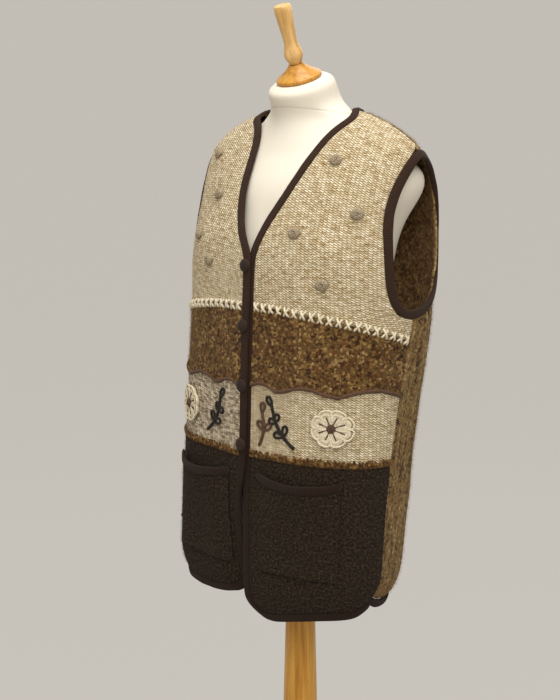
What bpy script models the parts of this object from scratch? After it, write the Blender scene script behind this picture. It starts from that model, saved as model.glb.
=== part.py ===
"""A long sleeveless knitted vest, buttoned on a limbless dress form with a turned wooden stand.

Metres, +Z up, the wearer faces -Y, so the wearer's left is +X. The origin is the
middle of the stand's underside. The cloth is one body surface, read by an angle
round the figure and a height; every panel, binding, pocket and button is placed on it.
"""

import math
from collections import namedtuple

import bmesh
import bpy
import numpy as np
from mathutils import Matrix, Vector

# Driving sizes of the cloth
WALL = 0.0032
SEAM = 0.0003
BIND_WIDTH = 0.013
BIND_PROUD = 0.0012
POCKET_WALL = 0.0026
FIGURE_Y = 0.0035

# Heights of the cut lines at the centre front and at the side
V_BOTTOM = 1.187
CHEST_SEAM_FRONT = 1.112
CHEST_SEAM_SIDE = 1.066
CHEST_SEAM_DROP = 2.6
DARK_SEAM = 0.890
SCALLOP_SEAM = 1.000
SCALLOP_DEPTH = 0.013
SCALLOPS = 3
ARMHOLE_BOTTOM = 1.097
SHOULDER_TIP = 1.342
NECK_POINT = 1.3965
BACK_NECK = 1.380
HEM_CORNER = 0.028

# The two front edges: the wearer's right front laps over the left one
UNDER_EDGE = 0.0103
OVER_EDGE = 0.0065
LAP_LIFT = 0.0068
LAP_DROP = 0.008
LAP_FADE = 0.075
LAP_SWING = 0.0125

# Buttons, bobbles and pockets
BUTTON_RADIUS = 0.011
BUTTON_HEIGHT = 0.0062
BUTTON_HEIGHTS = (1.173, 1.083, 0.993, 0.903)
POCKET_INNER = 0.028
POCKET_OUTER = 0.166
POCKET_BOTTOM = 0.713
POCKET_MOUTH = 0.864
POCKET_SCOOP = 0.009
POCKET_TRIM = 0.013
LEFT_POCKET_GAPE = 0.0105
RIGHT_POCKET_GAPE = 0.0160
ROSETTE_RADIUS = 0.029
ROSETTE_HEIGHT = 0.0036
ROSETTE_PETALS = 8
ROSETTE_LEFT_X = 0.148
ROSETTE_RIGHT_X = -0.140
ROSETTE_Z = 0.944

# The stand and the top of the form
BASE_RADIUS = 0.200
BASE_HEIGHT = 0.028
FORM_BOTTOM = 0.735
SHOULDER_EASE = 0.0031
SHOULDER_FIT_LOW = 1.235
SHOULDER_FIT_HIGH = 1.300
NECK_TILT = math.radians(20.0)
NECK_FOOT = Vector((0.0, 0.014 + FIGURE_Y, 1.394))
NECK_TOP = Vector((0.0, -0.006 + FIGURE_Y, 1.439))

Section = namedtuple("Section", "height half_width front_y side_y back_y front_square back_square")
CLOTH = [
    Section(0.600, 0.196, -0.130, -0.050, 0.070, 2.50, 2.30),
    Section(0.665, 0.198, -0.131, -0.049, 0.078, 2.50, 2.30),
    Section(0.760, 0.200, -0.132, -0.043, 0.094, 2.50, 2.35),
    Section(0.890, 0.201, -0.129, -0.029, 0.114, 2.45, 2.40),
    Section(1.000, 0.204, -0.126, -0.010, 0.133, 2.40, 2.45),
    Section(1.100, 0.208, -0.122, 0.008, 0.149, 2.35, 2.50),
    Section(1.200, 0.2110, -0.115, 0.012, 0.156, 2.20, 2.50),
    Section(1.250, 0.2115, -0.098, 0.013, 0.153, 2.05, 2.50),
    Section(1.300, 0.2105, -0.078, 0.014, 0.136, 1.90, 2.40),
    Section(1.342, 0.2075, -0.054, 0.015, 0.100, 1.72, 2.00),
    Section(1.356, 0.1910, -0.045, 0.015, 0.091, 1.70, 1.85),
    Section(1.371, 0.1670, -0.036, 0.015, 0.085, 1.70, 1.80),
    Section(1.384, 0.1370, -0.029, 0.015, 0.080, 1.70, 1.75),
    Section(1.395, 0.1040, -0.025, 0.015, 0.076, 1.70, 1.70),
    Section(1.402, 0.0760, -0.026, 0.014, 0.072, 1.75, 1.75),
    Section(1.412, 0.0600, -0.030, 0.012, 0.068, 1.90, 1.90),
]

FORM = [
    Section(0.730, 0.150, -0.094, -0.004, 0.066, 2.30, 2.30),
    Section(0.800, 0.160, -0.104, -0.004, 0.078, 2.30, 2.30),
    Section(0.880, 0.156, -0.100, -0.002, 0.084, 2.25, 2.25),
    Section(0.980, 0.130, -0.084, 0.002, 0.080, 2.15, 2.15),
    Section(1.080, 0.142, -0.100, 0.006, 0.090, 2.15, 2.15),
    Section(1.150, 0.149, -0.104, 0.010, 0.104, 2.10, 2.10),
    Section(1.200, 0.152, -0.098, 0.012, 0.116, 2.10, 2.15),
    Section(1.240, 0.166, -0.086, 0.013, 0.124, 2.00, 2.20),
    Section(1.300, 0.194, -0.068, 0.014, 0.118, 1.90, 2.20),
]

# The vest hangs a little narrower on the wearer's right, and a little lower at that shoulder
RIGHT_SIDE = 0.974
SHOULDER_TILT = 0.028

# Half-width of the neckline in the cloth, by height, from the V's bottom to the neck point
Neckline = namedtuple("Neckline", "height left right")
NECKLINE = [
    Neckline(1.187, UNDER_EDGE, OVER_EDGE),
    Neckline(1.235, 0.0290, 0.0400),
    Neckline(1.276, 0.0510, 0.0560),
    Neckline(1.317, 0.0680, 0.0600),
    Neckline(1.350, 0.0820, 0.0660),
    Neckline(1.374, 0.0980, 0.0780),
]

# Height of the cut hem, by degrees round the figure from the centre front
HemMark = namedtuple("HemMark", "angle left right")
HEM = [
    HemMark(0, 0.642, 0.683),
    HemMark(30, 0.641, 0.672),
    HemMark(55, 0.653, 0.665),
    HemMark(78, 0.666, 0.669),
    HemMark(90, 0.670, 0.670),
    HemMark(105, 0.668, 0.668),
    HemMark(140, 0.664, 0.664),
    HemMark(180, 0.662, 0.662),
]
VENT_RISE = 0.013
VENT_WIDTH = 5.5
CURL_HEIGHT = 0.040
CURL_DEPTH = 0.014

# Soft hanging folds: a ridge has a positive depth and a trough a negative one
Fold = namedtuple("Fold", "angle width top bottom depth")
FOLDS = [
    Fold(66, 8, 1.06, 0.60, -0.0030),
    Fold(84, 7, 1.09, 0.60, 0.0030),
    Fold(101, 8, 1.10, 0.60, -0.0050),
    Fold(120, 9, 1.08, 0.60, 0.0060),
    Fold(141, 8, 1.04, 0.60, -0.0050),
    Fold(162, 9, 0.98, 0.60, 0.0045),
    Fold(187, 9, 1.00, 0.60, -0.0050),
    Fold(208, 9, 1.02, 0.60, 0.0050),
    Fold(231, 9, 1.06, 0.60, -0.0060),
    Fold(252, 8, 1.09, 0.60, 0.0050),
    Fold(284, 9, 1.02, 0.60, 0.0050),
    Fold(306, 9, 0.98, 0.60, -0.0040),
    Fold(328, 9, 0.94, 0.60, 0.0030),
]

Bobble = namedtuple("Bobble", "name x height turn sink")
BOBBLES = [
    Bobble("bobble_left_shoulder", 0.109, 1.326, 10, 0.0003),
    Bobble("bobble_left_armhole", 0.160, 1.251, -20, 0.0003),
    Bobble("bobble_left_chest", 0.076, 1.223, 15, 0.0007),
    Bobble("bobble_left_low", 0.127, 1.152, -10, 0.0004),
    Bobble("bobble_right_shoulder", -0.152, 1.334, -15, 0.0001),
    Bobble("bobble_right_armhole", -0.108, 1.274, 20, 0.0003),
    Bobble("bobble_right_chest", -0.141, 1.209, 5, 0.0003),
    Bobble("bobble_right_low", -0.098, 1.173, -12, 0.0004),
]
BOBBLE_LONG = 0.0092
BOBBLE_SHORT = 0.0072
BOBBLE_HEIGHT = 0.0070


def smooth_curve(xs, ys, x):
    """Monotone cubic curve through a short table, held level past its ends."""
    xs = np.asarray(xs, float)
    ys = np.asarray(ys, float)
    step = np.diff(xs)
    slope = np.diff(ys) / step
    tangent = np.empty(len(xs))
    tangent[0] = slope[0]
    tangent[-1] = slope[-1]
    for i in range(1, len(xs) - 1):
        tangent[i] = 0.0
        if slope[i - 1] * slope[i] > 0:
            before = 2 * step[i] + step[i - 1]
            after = step[i] + 2 * step[i - 1]
            tangent[i] = (before + after) / (before / slope[i - 1] + after / slope[i])
    x = np.clip(np.asarray(x, float), xs[0], xs[-1])
    i = np.clip(np.searchsorted(xs, x, side="right") - 1, 0, len(step) - 1)
    t = (x - xs[i]) / step[i]
    value = (1 + 2 * t) * (1 - t) ** 2 * ys[i] + t * t * (3 - 2 * t) * ys[i + 1]
    return value + t * (1 - t) * step[i] * ((1 - t) * tangent[i] - t * tangent[i + 1])


def ramp(low, high, x):
    t = np.clip((np.asarray(x, float) - low) / (high - low), 0.0, 1.0)
    return t * t * (3 - 2 * t)


def column(rows, name, height):
    return smooth_curve([row.height for row in rows], [getattr(row, name) for row in rows], height)


def ring_radius(rows, angle, height):
    """Distance from the side axis to a rounded-box ring, at an angle from the front."""
    side_y = column(rows, "side_y", height)
    is_front = np.cos(angle) > 0
    front = side_y - column(rows, "front_y", height)
    behind = column(rows, "back_y", height) - side_y
    depth = np.where(is_front, front, behind)
    power = np.where(is_front, column(rows, "front_square", height), column(rows, "back_square", height))
    across = np.abs(np.sin(angle)) / column(rows, "half_width", height)
    along = np.abs(np.cos(angle)) / depth
    return (across ** power + along ** power) ** (-1 / power)


def hem_height(angle, over):
    """Height of the cut hem at an angle, with the small rounded vent at each side seam."""
    degrees = np.degrees(np.asarray(angle, float)) % 360
    folded = np.where(degrees > 180, 360 - degrees, degrees)
    heights = [mark.right if over else mark.left for mark in HEM]
    vent = VENT_RISE * np.exp(-(((folded - 90) / VENT_WIDTH) ** 2))
    return smooth_curve([mark.angle for mark in HEM], heights, folded) + vent


def fold_depth(angle, height):
    degrees = np.degrees(angle) % 360
    total = np.zeros(np.broadcast(degrees, height).shape)
    for fold in FOLDS:
        away = (degrees - fold.angle + 180) % 360 - 180
        fade = 1 - ramp(fold.bottom, fold.top, height)
        total = total + fold.depth * fade * np.exp(-((away / fold.width) ** 2))
    return total


def lap_shift(x, height):
    """How far the over front stands out near its edge: proud where buttoned, sunk below."""
    edge = np.clip(1 - np.abs(x) / LAP_FADE, 0, 1)
    edge = edge * edge * (3 - 2 * edge)
    buttoned = LAP_LIFT * (1 - ramp(1.210, 1.275, height))
    loose = ramp(0.70, 0.83, height)
    return edge * (buttoned * loose - LAP_DROP * (1 - loose))


def cloth_at(angle, height, over=False):
    """Outer surface of the cloth at an angle from the centre front and a height."""
    angle = np.asarray(angle, float)
    height = np.asarray(height, float)
    lift = np.clip(height - hem_height(angle, over), 0, CURL_HEIGHT) / CURL_HEIGHT
    radius = ring_radius(CLOTH, angle, height) + fold_depth(angle, height)
    radius = radius - CURL_DEPTH * (1 - lift) ** 2
    x = radius * np.sin(angle)
    x = np.where(x < 0, x * RIGHT_SIDE, x)
    y = column(CLOTH, "side_y", height) - radius * np.cos(angle)
    if over:
        y = y - lap_shift(x, height)
    tilted = height + SHOULDER_TILT * x * ramp(1.12, 1.34, height)
    return np.stack([x, y + FIGURE_Y, tilted], axis=-1)


def normal_at(angle, height, over=False):
    nudge = 0.0015
    around = cloth_at(angle + nudge / 0.2, height, over) - cloth_at(angle - nudge / 0.2, height, over)
    up = cloth_at(angle, height + nudge, over) - cloth_at(angle, height - nudge, over)
    normal = np.cross(around, up)
    return normal / np.linalg.norm(normal, axis=-1, keepdims=True)


def layer(angle, height, out, over=False):
    """A point moved out from the cloth's outer surface along its normal."""
    out = np.asarray(out, float)[..., None]
    return cloth_at(angle, height, over) + normal_at(angle, height, over) * out


def angle_of_x(x, height):
    """Angle of the front surface at a distance x from the centre line."""
    power = column(CLOTH, "front_square", height)
    width = column(CLOTH, "half_width", height)
    depth = column(CLOTH, "side_y", height) - column(CLOTH, "front_y", height)
    across = np.clip(np.abs(x) / width, 0, 1)
    return np.arctan2(x, depth * (1 - across ** power) ** (1 / power))


def angle_of_y(y, height):
    """Angle of the side surface at a distance y from the front or back plane."""
    side_y = column(CLOTH, "side_y", height)
    offset = y - side_y
    is_front = offset < 0
    front = side_y - column(CLOTH, "front_y", height)
    behind = column(CLOTH, "back_y", height) - side_y
    depth = np.where(is_front, front, behind)
    power = np.where(is_front, column(CLOTH, "front_square", height), column(CLOTH, "back_square", height))
    share = np.clip(np.abs(offset) / depth, 0, 1)
    x = column(CLOTH, "half_width", height) * (1 - share ** power) ** (1 / power)
    return np.arctan2(x, -offset)


# Cut lines, each a row of (angle, height) pairs on the wearer's left side
ARM_MIDDLE = 1.205
ARM_FRONT = 0.073
ARM_BACK = 0.088
ARM_Y = 0.030
ARM_SLANT = 1.85
ARM_LEAN_TOP = 0.015
ARM_LEAN_BOTTOM = 0.020


def armhole(turn):
    """The armhole's cut edge; a turn of 0 is the shoulder tip, half a turn the bottom."""
    is_upper = math.cos(turn) >= 0
    is_front = math.sin(turn) > 0
    rise = SHOULDER_TIP - ARM_MIDDLE if is_upper else ARM_MIDDLE - ARMHOLE_BOTTOM
    is_slanted = is_upper and is_front
    round_power = 1.0 if is_slanted else 0.85
    reach_power = ARM_SLANT if is_slanted else 0.85
    height = ARM_MIDDLE + rise * math.copysign(abs(math.cos(turn)) ** round_power, math.cos(turn))
    lean = ARM_LEAN_TOP if is_upper else ARM_LEAN_BOTTOM
    middle = ARM_Y - lean * ((height - ARM_MIDDLE) / rise) ** 2
    reach = ARM_FRONT if is_front else ARM_BACK
    y = middle - reach * math.copysign(abs(math.sin(turn)) ** reach_power, math.sin(turn))
    return float(angle_of_y(y, height)), height


def armhole_run(start, end, count):
    return [armhole(start + (end - start) * i / (count - 1)) for i in range(count)]


def front_edge_x(height, over):
    """Distance of the front cloth's cut edge from the centre line."""
    if not over:
        return UNDER_EDGE
    return OVER_EDGE + LAP_SWING * (1 - ramp(0.815, 0.875, height))


def neck_run(count, over):
    """The V neckline's cut edge, from its bottom to the neck point on the shoulder."""
    heights = [mark.height for mark in NECKLINE]
    widths = [mark.right if over else mark.left for mark in NECKLINE]
    last = float(angle_of_x(widths[-1], heights[-1]))
    run = []
    for height in np.linspace(heights[0], NECK_POINT, count):
        angle = float(angle_of_x(smooth_curve(heights, widths, height), height))
        if height > heights[-1]:
            share = (height - heights[-1]) / (NECK_POINT - heights[-1])
            angle = last + (math.pi / 2 - last) * share ** 0.9
        run.append((angle, float(height)))
    return run


def edge_run(low, high, count, over):
    """The straight front edge between two heights."""
    run = []
    for i in range(count):
        height = low + (high - low) * i / (count - 1)
        run.append((float(angle_of_x(front_edge_x(height, over), height)), height))
    return run


def shoulder_run(count):
    """The shoulder seam, from the neck point to the tip."""
    return [(math.pi / 2, NECK_POINT + (SHOULDER_TIP - NECK_POINT) * i / (count - 1)) for i in range(count)]


def chest_seam(angle):
    share = min(abs(angle) / (math.pi / 2), 1.0)
    return CHEST_SEAM_FRONT + (CHEST_SEAM_SIDE - CHEST_SEAM_FRONT) * share ** CHEST_SEAM_DROP


def scallop_seam(angle):
    wave = abs(math.sin(SCALLOPS * math.pi * angle / (math.pi / 2)))
    return SCALLOP_SEAM - SCALLOP_DEPTH * (1 - wave)


def resample(points, count):
    """Points spread evenly along a row of (angle, height) pairs, measured on the cloth."""
    points = np.asarray(points, float)
    place = cloth_at(points[:, 0], points[:, 1])
    length = np.concatenate([[0], np.cumsum(np.linalg.norm(np.diff(place, axis=0), axis=1))])
    want = np.linspace(0, length[-1], count)
    return np.stack([np.interp(want, length, points[:, k]) for k in range(2)], axis=-1)


def patch_grid(bottom, top, left, right):
    """Grid of (angle, height) pairs blended between four boundary rows."""
    across = np.linspace(0, 1, len(bottom))[None, :, None]
    up = np.linspace(0, 1, len(left))[:, None, None]
    bottom, top = np.asarray(bottom)[None], np.asarray(top)[None]
    left, right = np.asarray(left)[:, None], np.asarray(right)[:, None]
    ruled = (1 - up) * bottom + up * top + (1 - across) * left + across * right
    corners = (1 - up) * ((1 - across) * bottom[:, :1] + across * bottom[:, -1:])
    return ruled - corners - up * ((1 - across) * top[:, :1] + across * top[:, -1:])


def pull_in(grid, amount):
    """Draws a grid's four borders in by a small distance, so that seams have a gap."""
    grid = grid.copy()
    place = cloth_at(grid[..., 0], grid[..., 1])
    every = slice(None)
    rows = (((0, every), (1, every)), ((-1, every), (-2, every)))
    columns = (((every, 0), (every, 1)), ((every, -1), (every, -2)))
    for border, inner in rows + columns:
        along = np.gradient(place[border], axis=0)
        along = along / np.linalg.norm(along, axis=1, keepdims=True)
        inward = place[inner] - place[border]
        square = inward - along * np.sum(inward * along, axis=1, keepdims=True)
        share = (amount / np.linalg.norm(square, axis=1))[:, None]
        grid[border] = grid[border] + (grid[inner] - grid[border]) * share
    return grid


def material(name, colour, roughness, metallic=0.0):
    made = bpy.data.materials.get(name)
    if made is None:
        made = bpy.data.materials.new(name)
        made.use_nodes = True
        shader = made.node_tree.nodes["Principled BSDF"]
        shader.inputs["Base Color"].default_value = (*colour, 1.0)
        shader.inputs["Roughness"].default_value = roughness
        shader.inputs["Metallic"].default_value = metallic
    return made


CREAM = ("cream_wool", (0.62, 0.53, 0.40), 0.95)
TWEED = ("brown_tweed", (0.16, 0.095, 0.045), 0.95)
OATMEAL = ("oatmeal_wool", (0.64, 0.56, 0.42), 0.95)
MARLED = ("marled_grey_wool", (0.30, 0.26, 0.21), 0.95)
CHARCOAL = ("charcoal_brown_wool", (0.045, 0.034, 0.027), 0.97)
RIB = ("dark_brown_rib", (0.035, 0.022, 0.016), 0.9)
BOBBLE_YARN = ("grey_beige_yarn", (0.30, 0.24, 0.17), 0.95)
ECRU = ("ecru_crochet", (0.70, 0.62, 0.47), 0.9)
HORN = ("dark_brown_button", (0.03, 0.02, 0.015), 0.6)
LINEN = ("off_white_jersey", (0.72, 0.70, 0.65), 0.9)
BEECH = ("varnished_beech", (0.55, 0.27, 0.09), 0.35)


def finish(name, built, finish_row):
    """Turns a bmesh into a smooth shaded object with its own material."""
    bmesh.ops.recalc_face_normals(built, faces=built.faces)
    mesh = bpy.data.meshes.new(name)
    built.to_mesh(mesh)
    built.free()
    mesh.materials.append(material(*finish_row))
    mesh.shade_smooth()
    mesh.set_sharp_from_angle(angle=math.radians(50))
    made = bpy.data.objects.new(name, mesh)
    bpy.context.scene.collection.objects.link(made)
    return made


def wall_between(name, outer, inner, finish_row):
    """A closed wall from two matching grids of points."""
    built = bmesh.new()
    rows, columns = outer.shape[:2]
    skins = []
    for grid in (outer, inner):
        skins.append([[built.verts.new(grid[i, j]) for j in range(columns)] for i in range(rows)])
    for skin in skins:
        for i in range(rows - 1):
            for j in range(columns - 1):
                built.faces.new((skin[i][j], skin[i][j + 1], skin[i + 1][j + 1], skin[i + 1][j]))
    borders = []
    for skin in skins:
        loop = [skin[0][j] for j in range(columns)]
        loop += [skin[i][-1] for i in range(1, rows)]
        loop += [skin[-1][j] for j in range(columns - 2, -1, -1)]
        loop += [skin[i][0] for i in range(rows - 2, 0, -1)]
        borders.append(loop)
    for i in range(len(borders[0])):
        after = (i + 1) % len(borders[0])
        built.faces.new((borders[0][i], borders[0][after], borders[1][after], borders[1][i]))
    return finish(name, built, finish_row)


def sweep(name, rings, finish_row, closed=False):
    """A solid through matching rings of points, with flat ends unless it closes on itself."""
    built = bmesh.new()
    loops = [[built.verts.new(point) for point in ring] for ring in rings]
    sides = len(loops[0])
    spans = len(loops) if closed else len(loops) - 1
    for i in range(spans):
        here, there = loops[i], loops[(i + 1) % len(loops)]
        for k in range(sides):
            after = (k + 1) % sides
            built.faces.new((here[k], here[after], there[after], there[k]))
    if not closed:
        built.faces.new(loops[0])
        built.faces.new(loops[-1])
    return finish(name, built, finish_row)


def mirrored(grid):
    """The wearer's right side of a grid of (angle, height) pairs."""
    flipped = grid.copy()
    flipped[..., 0] = -flipped[..., 0]
    return flipped


def panel(name, grid, finish_row, over=False, wall=WALL):
    """A cloth wall on a grid of (angle, height) pairs."""
    grid = pull_in(grid, SEAM / 2)
    if over:
        grid = mirrored(grid)
    outer = layer(grid[..., 0], grid[..., 1], 0.0, over)
    inner = layer(grid[..., 0], grid[..., 1], -wall, over)
    return wall_between(name, outer, inner, finish_row)


ARM_SPANS = 11
SKIRT_ROWS = 10
BAND_ROWS = 4
BAND_COLUMNS = 16
FRONT_COLUMNS = 14
CORNER_SPANS = 3


def arm_front():
    return resample(armhole_run(math.pi, 0.0, 80), ARM_SPANS + 1)


def arm_back():
    return resample(armhole_run(math.pi, 2 * math.pi, 80), ARM_SPANS + 1)


def front_angle(height, over):
    """Angle of the front cloth's cut edge at a height."""
    return float(angle_of_x(front_edge_x(height, over), height))


def yoke_grid(over):
    """The pale yoke, from the chest seam to the shoulder and from the V to the armhole."""
    start = front_angle(CHEST_SEAM_FRONT, over)
    seam = [(angle, chest_seam(angle)) for angle in np.linspace(start, math.pi / 2, 200)]
    right = np.concatenate([[(math.pi / 2, CHEST_SEAM_SIDE)], arm_front()])
    rise = resample(edge_run(CHEST_SEAM_FRONT, V_BOTTOM, 12, over), 4)
    left = np.concatenate([rise[:-1], resample(neck_run(80, over), len(right) - len(rise) + 1)])
    shoulder = resample(shoulder_run(30), FRONT_COLUMNS)
    return patch_grid(resample(seam, FRONT_COLUMNS), shoulder, left, right)


def band_grid(low, high, rows, over):
    """A band from the front edge to the side seam, between two seams given by angle."""
    grid = np.empty((rows, BAND_COLUMNS, 2))
    for j in range(BAND_COLUMNS):
        share = j / (BAND_COLUMNS - 1)
        for i in range(rows):
            angle = share * math.pi / 2
            for _ in range(4):
                height = low(angle) + (high(angle) - low(angle)) * i / (rows - 1)
                start = front_angle(height, over)
                angle = start + (math.pi / 2 - start) * share
            grid[i, j] = (angle, height)
    return grid


def dark_seam(angle):
    """The seam above the skirt, level all the way round."""
    return DARK_SEAM + 0.0 * angle


def skirt_grid(over):
    """The dark lower front, whose lower front corner is a quarter round."""
    hem = [(angle, float(hem_height(angle, over))) for angle in np.linspace(0.0, math.pi / 2, 400)]
    corner_x = front_edge_x(hem[0][1], over) + HEM_CORNER
    corner_angle = float(angle_of_x(corner_x, hem[0][1]))
    low = float(hem_height(corner_angle, over))
    arc = []
    for i in range(25):
        turn = math.pi / 2 * i / 24
        height = low + HEM_CORNER * (1 - math.cos(turn))
        x = corner_x - HEM_CORNER * math.sin(turn)
        arc.append((float(angle_of_x(x, height)), height))
    half = len(arc) // 2
    rest = [arc[0]] + [mark for mark in hem if mark[0] > corner_angle]
    bottom = np.concatenate([
        resample(arc[half::-1], CORNER_SPANS + 1)[:-1],
        resample(rest, FRONT_COLUMNS - CORNER_SPANS),
    ])
    rise = edge_run(arc[-1][1], DARK_SEAM, 40, over)
    left = np.concatenate([
        resample(arc[half:], CORNER_SPANS + 1)[:-1],
        resample(rise, SKIRT_ROWS - CORNER_SPANS),
    ])
    top = [(angle, DARK_SEAM) for angle in np.linspace(front_angle(DARK_SEAM, over), math.pi / 2, 100)]
    right = [(math.pi / 2, height) for height in np.linspace(hem[-1][1], DARK_SEAM, 30)]
    return patch_grid(bottom, resample(top, FRONT_COLUMNS), left, resample(right, SKIRT_ROWS))


def front_grids(over):
    """The four cloths of one front, from the hem to the shoulder."""
    return (
        skirt_grid(over),
        band_grid(dark_seam, scallop_seam, BAND_ROWS, over),
        band_grid(scallop_seam, chest_seam, BAND_ROWS, over),
        yoke_grid(over),
    )


def front(side, over):
    """One front's cloths, and the strip that binds its hem, its front edge and the V."""
    grids = front_grids(over)
    lower = ("marled_panel", MARLED) if over else ("cream_panel", OATMEAL)
    cloths = (("skirt", CHARCOAL), lower, ("tweed_band", TWEED), ("yoke", CREAM))
    for (name, finish_row), grid in zip(cloths, grids):
        panel(f"{name}_{side}", grid, finish_row, over)
    run = [grids[0][0, ::-1]] + [grid[1:, 0] for grid in grids]
    run = np.concatenate(run)
    if over:
        run[:, 0] = -run[:, 0]
    binding(f"edge_binding_{side}", run, over, flip=not over, ends=(SEAM, SEAM))


BACK_SHOULDER_SPANS = 5
BACK_NECK_SPANS = 14


def back_neck_run():
    """The back neck's cut edge, a shallow dip between the two neck points."""
    run = []
    for i in range(61):
        turn = math.pi * i / 60
        height = BACK_NECK + (NECK_POINT - BACK_NECK) * abs(math.cos(turn)) ** 1.6
        run.append((math.pi / 2 + turn, height))
    return run


def back_grid():
    """The whole back in one cloth, from the hem to the shoulder seams and back neck."""
    columns = 2 * BACK_SHOULDER_SPANS + BACK_NECK_SPANS + 1
    angles = np.linspace(math.pi / 2, 3 * math.pi / 2, 400)
    bottom = resample([(angle, float(hem_height(angle, False))) for angle in angles], columns)
    shoulder = resample(shoulder_run(30)[::-1], BACK_SHOULDER_SPANS + 1)
    far_shoulder = shoulder[::-1].copy()
    far_shoulder[:, 0] = 2 * math.pi - far_shoulder[:, 0]
    neck = resample(back_neck_run(), BACK_NECK_SPANS + 1)
    top = np.concatenate([shoulder[:-1], neck, far_shoulder[1:]])
    sides = [grid[:-1, -1] for grid in front_grids(False)[:3]]
    left = np.concatenate(sides + [[(math.pi / 2, CHEST_SEAM_SIDE)], arm_back()])
    right = left.copy()
    right[:, 0] = 2 * math.pi - right[:, 0]
    return patch_grid(bottom, top, left, right)


def back():
    grid = back_grid()
    panel("back", grid, TWEED)
    ends = (SEAM, SEAM)
    neck = grid[-1, BACK_SHOULDER_SPANS : BACK_SHOULDER_SPANS + BACK_NECK_SPANS + 1]
    binding("neck_binding_back", neck, flip=True, ends=ends)
    binding("hem_binding_back", grid[0], ends=ends)


def strip_section(width, proud, sunk, sides=8):
    """Rounded section of a binding: (across, out) pairs from the cloth's edge outwards."""
    points = []
    for k in range(sides):
        turn = 2 * math.pi * (k + 0.5) / sides
        cosine, sine = math.cos(turn), math.sin(turn)
        across = width / 2 * (1 + math.copysign(abs(cosine) ** 0.45, cosine))
        out = (proud - sunk) / 2 + (proud + sunk) / 2 * math.copysign(abs(sine) ** 0.55, sine)
        points.append((across, out))
    return points


def binding(name, run, over=False, flip=False, closed=False, gap=SEAM / 2, ends=(0.0, 0.0)):
    """A ribbed binding along a run of (angle, height) pairs, on the side away from the cloth."""
    run = np.asarray(run, float)
    place = cloth_at(run[:, 0], run[:, 1], over)
    normal = normal_at(run[:, 0], run[:, 1], over)
    if closed:
        along = np.roll(place, -1, axis=0) - np.roll(place, 1, axis=0)
    else:
        along = np.gradient(place, axis=0)
    away = np.cross(along, normal)
    away = away / np.linalg.norm(away, axis=1, keepdims=True) * (-1 if flip else 1)
    if not closed:
        step = along / np.linalg.norm(along, axis=1, keepdims=True)
        for i in (0, -1):
            angle, height = run[i]
            seam = cloth_at(angle, height + 0.001, over) - cloth_at(angle, height - 0.001, over)
            seam = seam * np.sign(np.dot(seam, away[i]))
            away[i] = seam / np.linalg.norm(seam)
        place[0] = place[0] + step[0] * ends[0]
        place[-1] = place[-1] - step[-1] * ends[1]
    rings = []
    for point, side, out in zip(place, away, normal):
        section = strip_section(BIND_WIDTH, BIND_PROUD, WALL + BIND_PROUD)
        rings.append([point + side * (gap + s) + out * t for s, t in section])
    return sweep(name, rings, RIB, closed)


def armhole_bindings():
    """A closed ring round each armhole, on the same points as the cloth edges it binds."""
    loop = np.concatenate([arm_front(), arm_back()[-2:0:-1]])
    binding("armhole_binding_left", loop, closed=True, gap=2 * SEAM)
    far = loop.copy()
    far[:, 0] = -far[:, 0]
    binding("armhole_binding_right", far, flip=True, closed=True, gap=2 * SEAM)


POCKET_ROWS = 8
POCKET_COLUMNS = 13


def pocket(side, over, gape):
    """A patch pocket with a scooped, slightly open mouth and a ribbed trim."""
    rows, columns = POCKET_ROWS, POCKET_COLUMNS
    sign = -1 if over else 1
    grid = np.empty((rows, columns, 3))
    for j in range(columns):
        share = 2 * j / (columns - 1) - 1
        x = POCKET_INNER + (POCKET_OUTER - POCKET_INNER) * j / (columns - 1)
        mouth = POCKET_MOUTH - POCKET_TRIM - POCKET_SCOOP * (1 - share ** 2)
        for i in range(rows):
            rise = i / (rows - 1)
            height = POCKET_BOTTOM + (mouth - POCKET_BOTTOM) * rise
            open_by = gape * (1 - share ** 2) * rise ** 2.5
            grid[i, j] = (float(angle_of_x(x, height)) * sign, height, open_by)
    gap = SEAM + grid[..., 2]
    inner = layer(grid[..., 0], grid[..., 1], gap, over)
    outer = layer(grid[..., 0], grid[..., 1], gap + POCKET_WALL, over)
    wall_between(f"pocket_{side}", outer, inner, CHARCOAL)
    rings = []
    section = strip_section(POCKET_TRIM, POCKET_WALL + 1.5 * BIND_PROUD, 0.0)
    for j in range(columns):
        angle, height, open_by = grid[-1, j]
        ring = [layer(angle, height + SEAM + s, SEAM + open_by + t, over) for s, t in section]
        rings.append(ring)
    sweep(f"pocket_trim_{side}", rings, RIB)


DOME_RINGS = ((0.62, 0.0), (0.96, 0.22), (0.94, 0.55), (0.66, 0.88), (0.22, 1.0))


def dome(name, angle, height, over, rim, rise, seat, finish_row, sides=10, turn=0.0):
    """A rounded boss on the cloth: rings of shrinking size over a base that follows it."""
    built_rings = []
    centre = layer(angle, height, seat, over)
    normal = normal_at(angle, height, over)
    level = np.cross([0.0, 0.0, 1.0], normal)
    level = level / np.linalg.norm(level)
    upward = np.cross(normal, level)
    for size, lift in DOME_RINGS:
        ring = []
        for k in range(sides):
            around = 2 * math.pi * k / sides
            across = rim[0] * size * math.cos(around)
            along = rim[1] * size * math.sin(around)
            a = across * math.cos(turn) - along * math.sin(turn)
            b = across * math.sin(turn) + along * math.cos(turn)
            ring.append(centre + level * a + upward * b + normal * (rise * lift))
        built_rings.append(ring)
    return sweep(name, built_rings, finish_row)


def bobbles():
    for row in BOBBLES:
        over = row.x < 0
        angle = float(angle_of_x(row.x, row.height))
        rim = (BOBBLE_LONG, BOBBLE_SHORT)
        turn = math.radians(row.turn)
        dome(row.name, angle, row.height, over, rim, BOBBLE_HEIGHT, 2 * SEAM - row.sink, BOBBLE_YARN, 10, turn)


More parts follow.
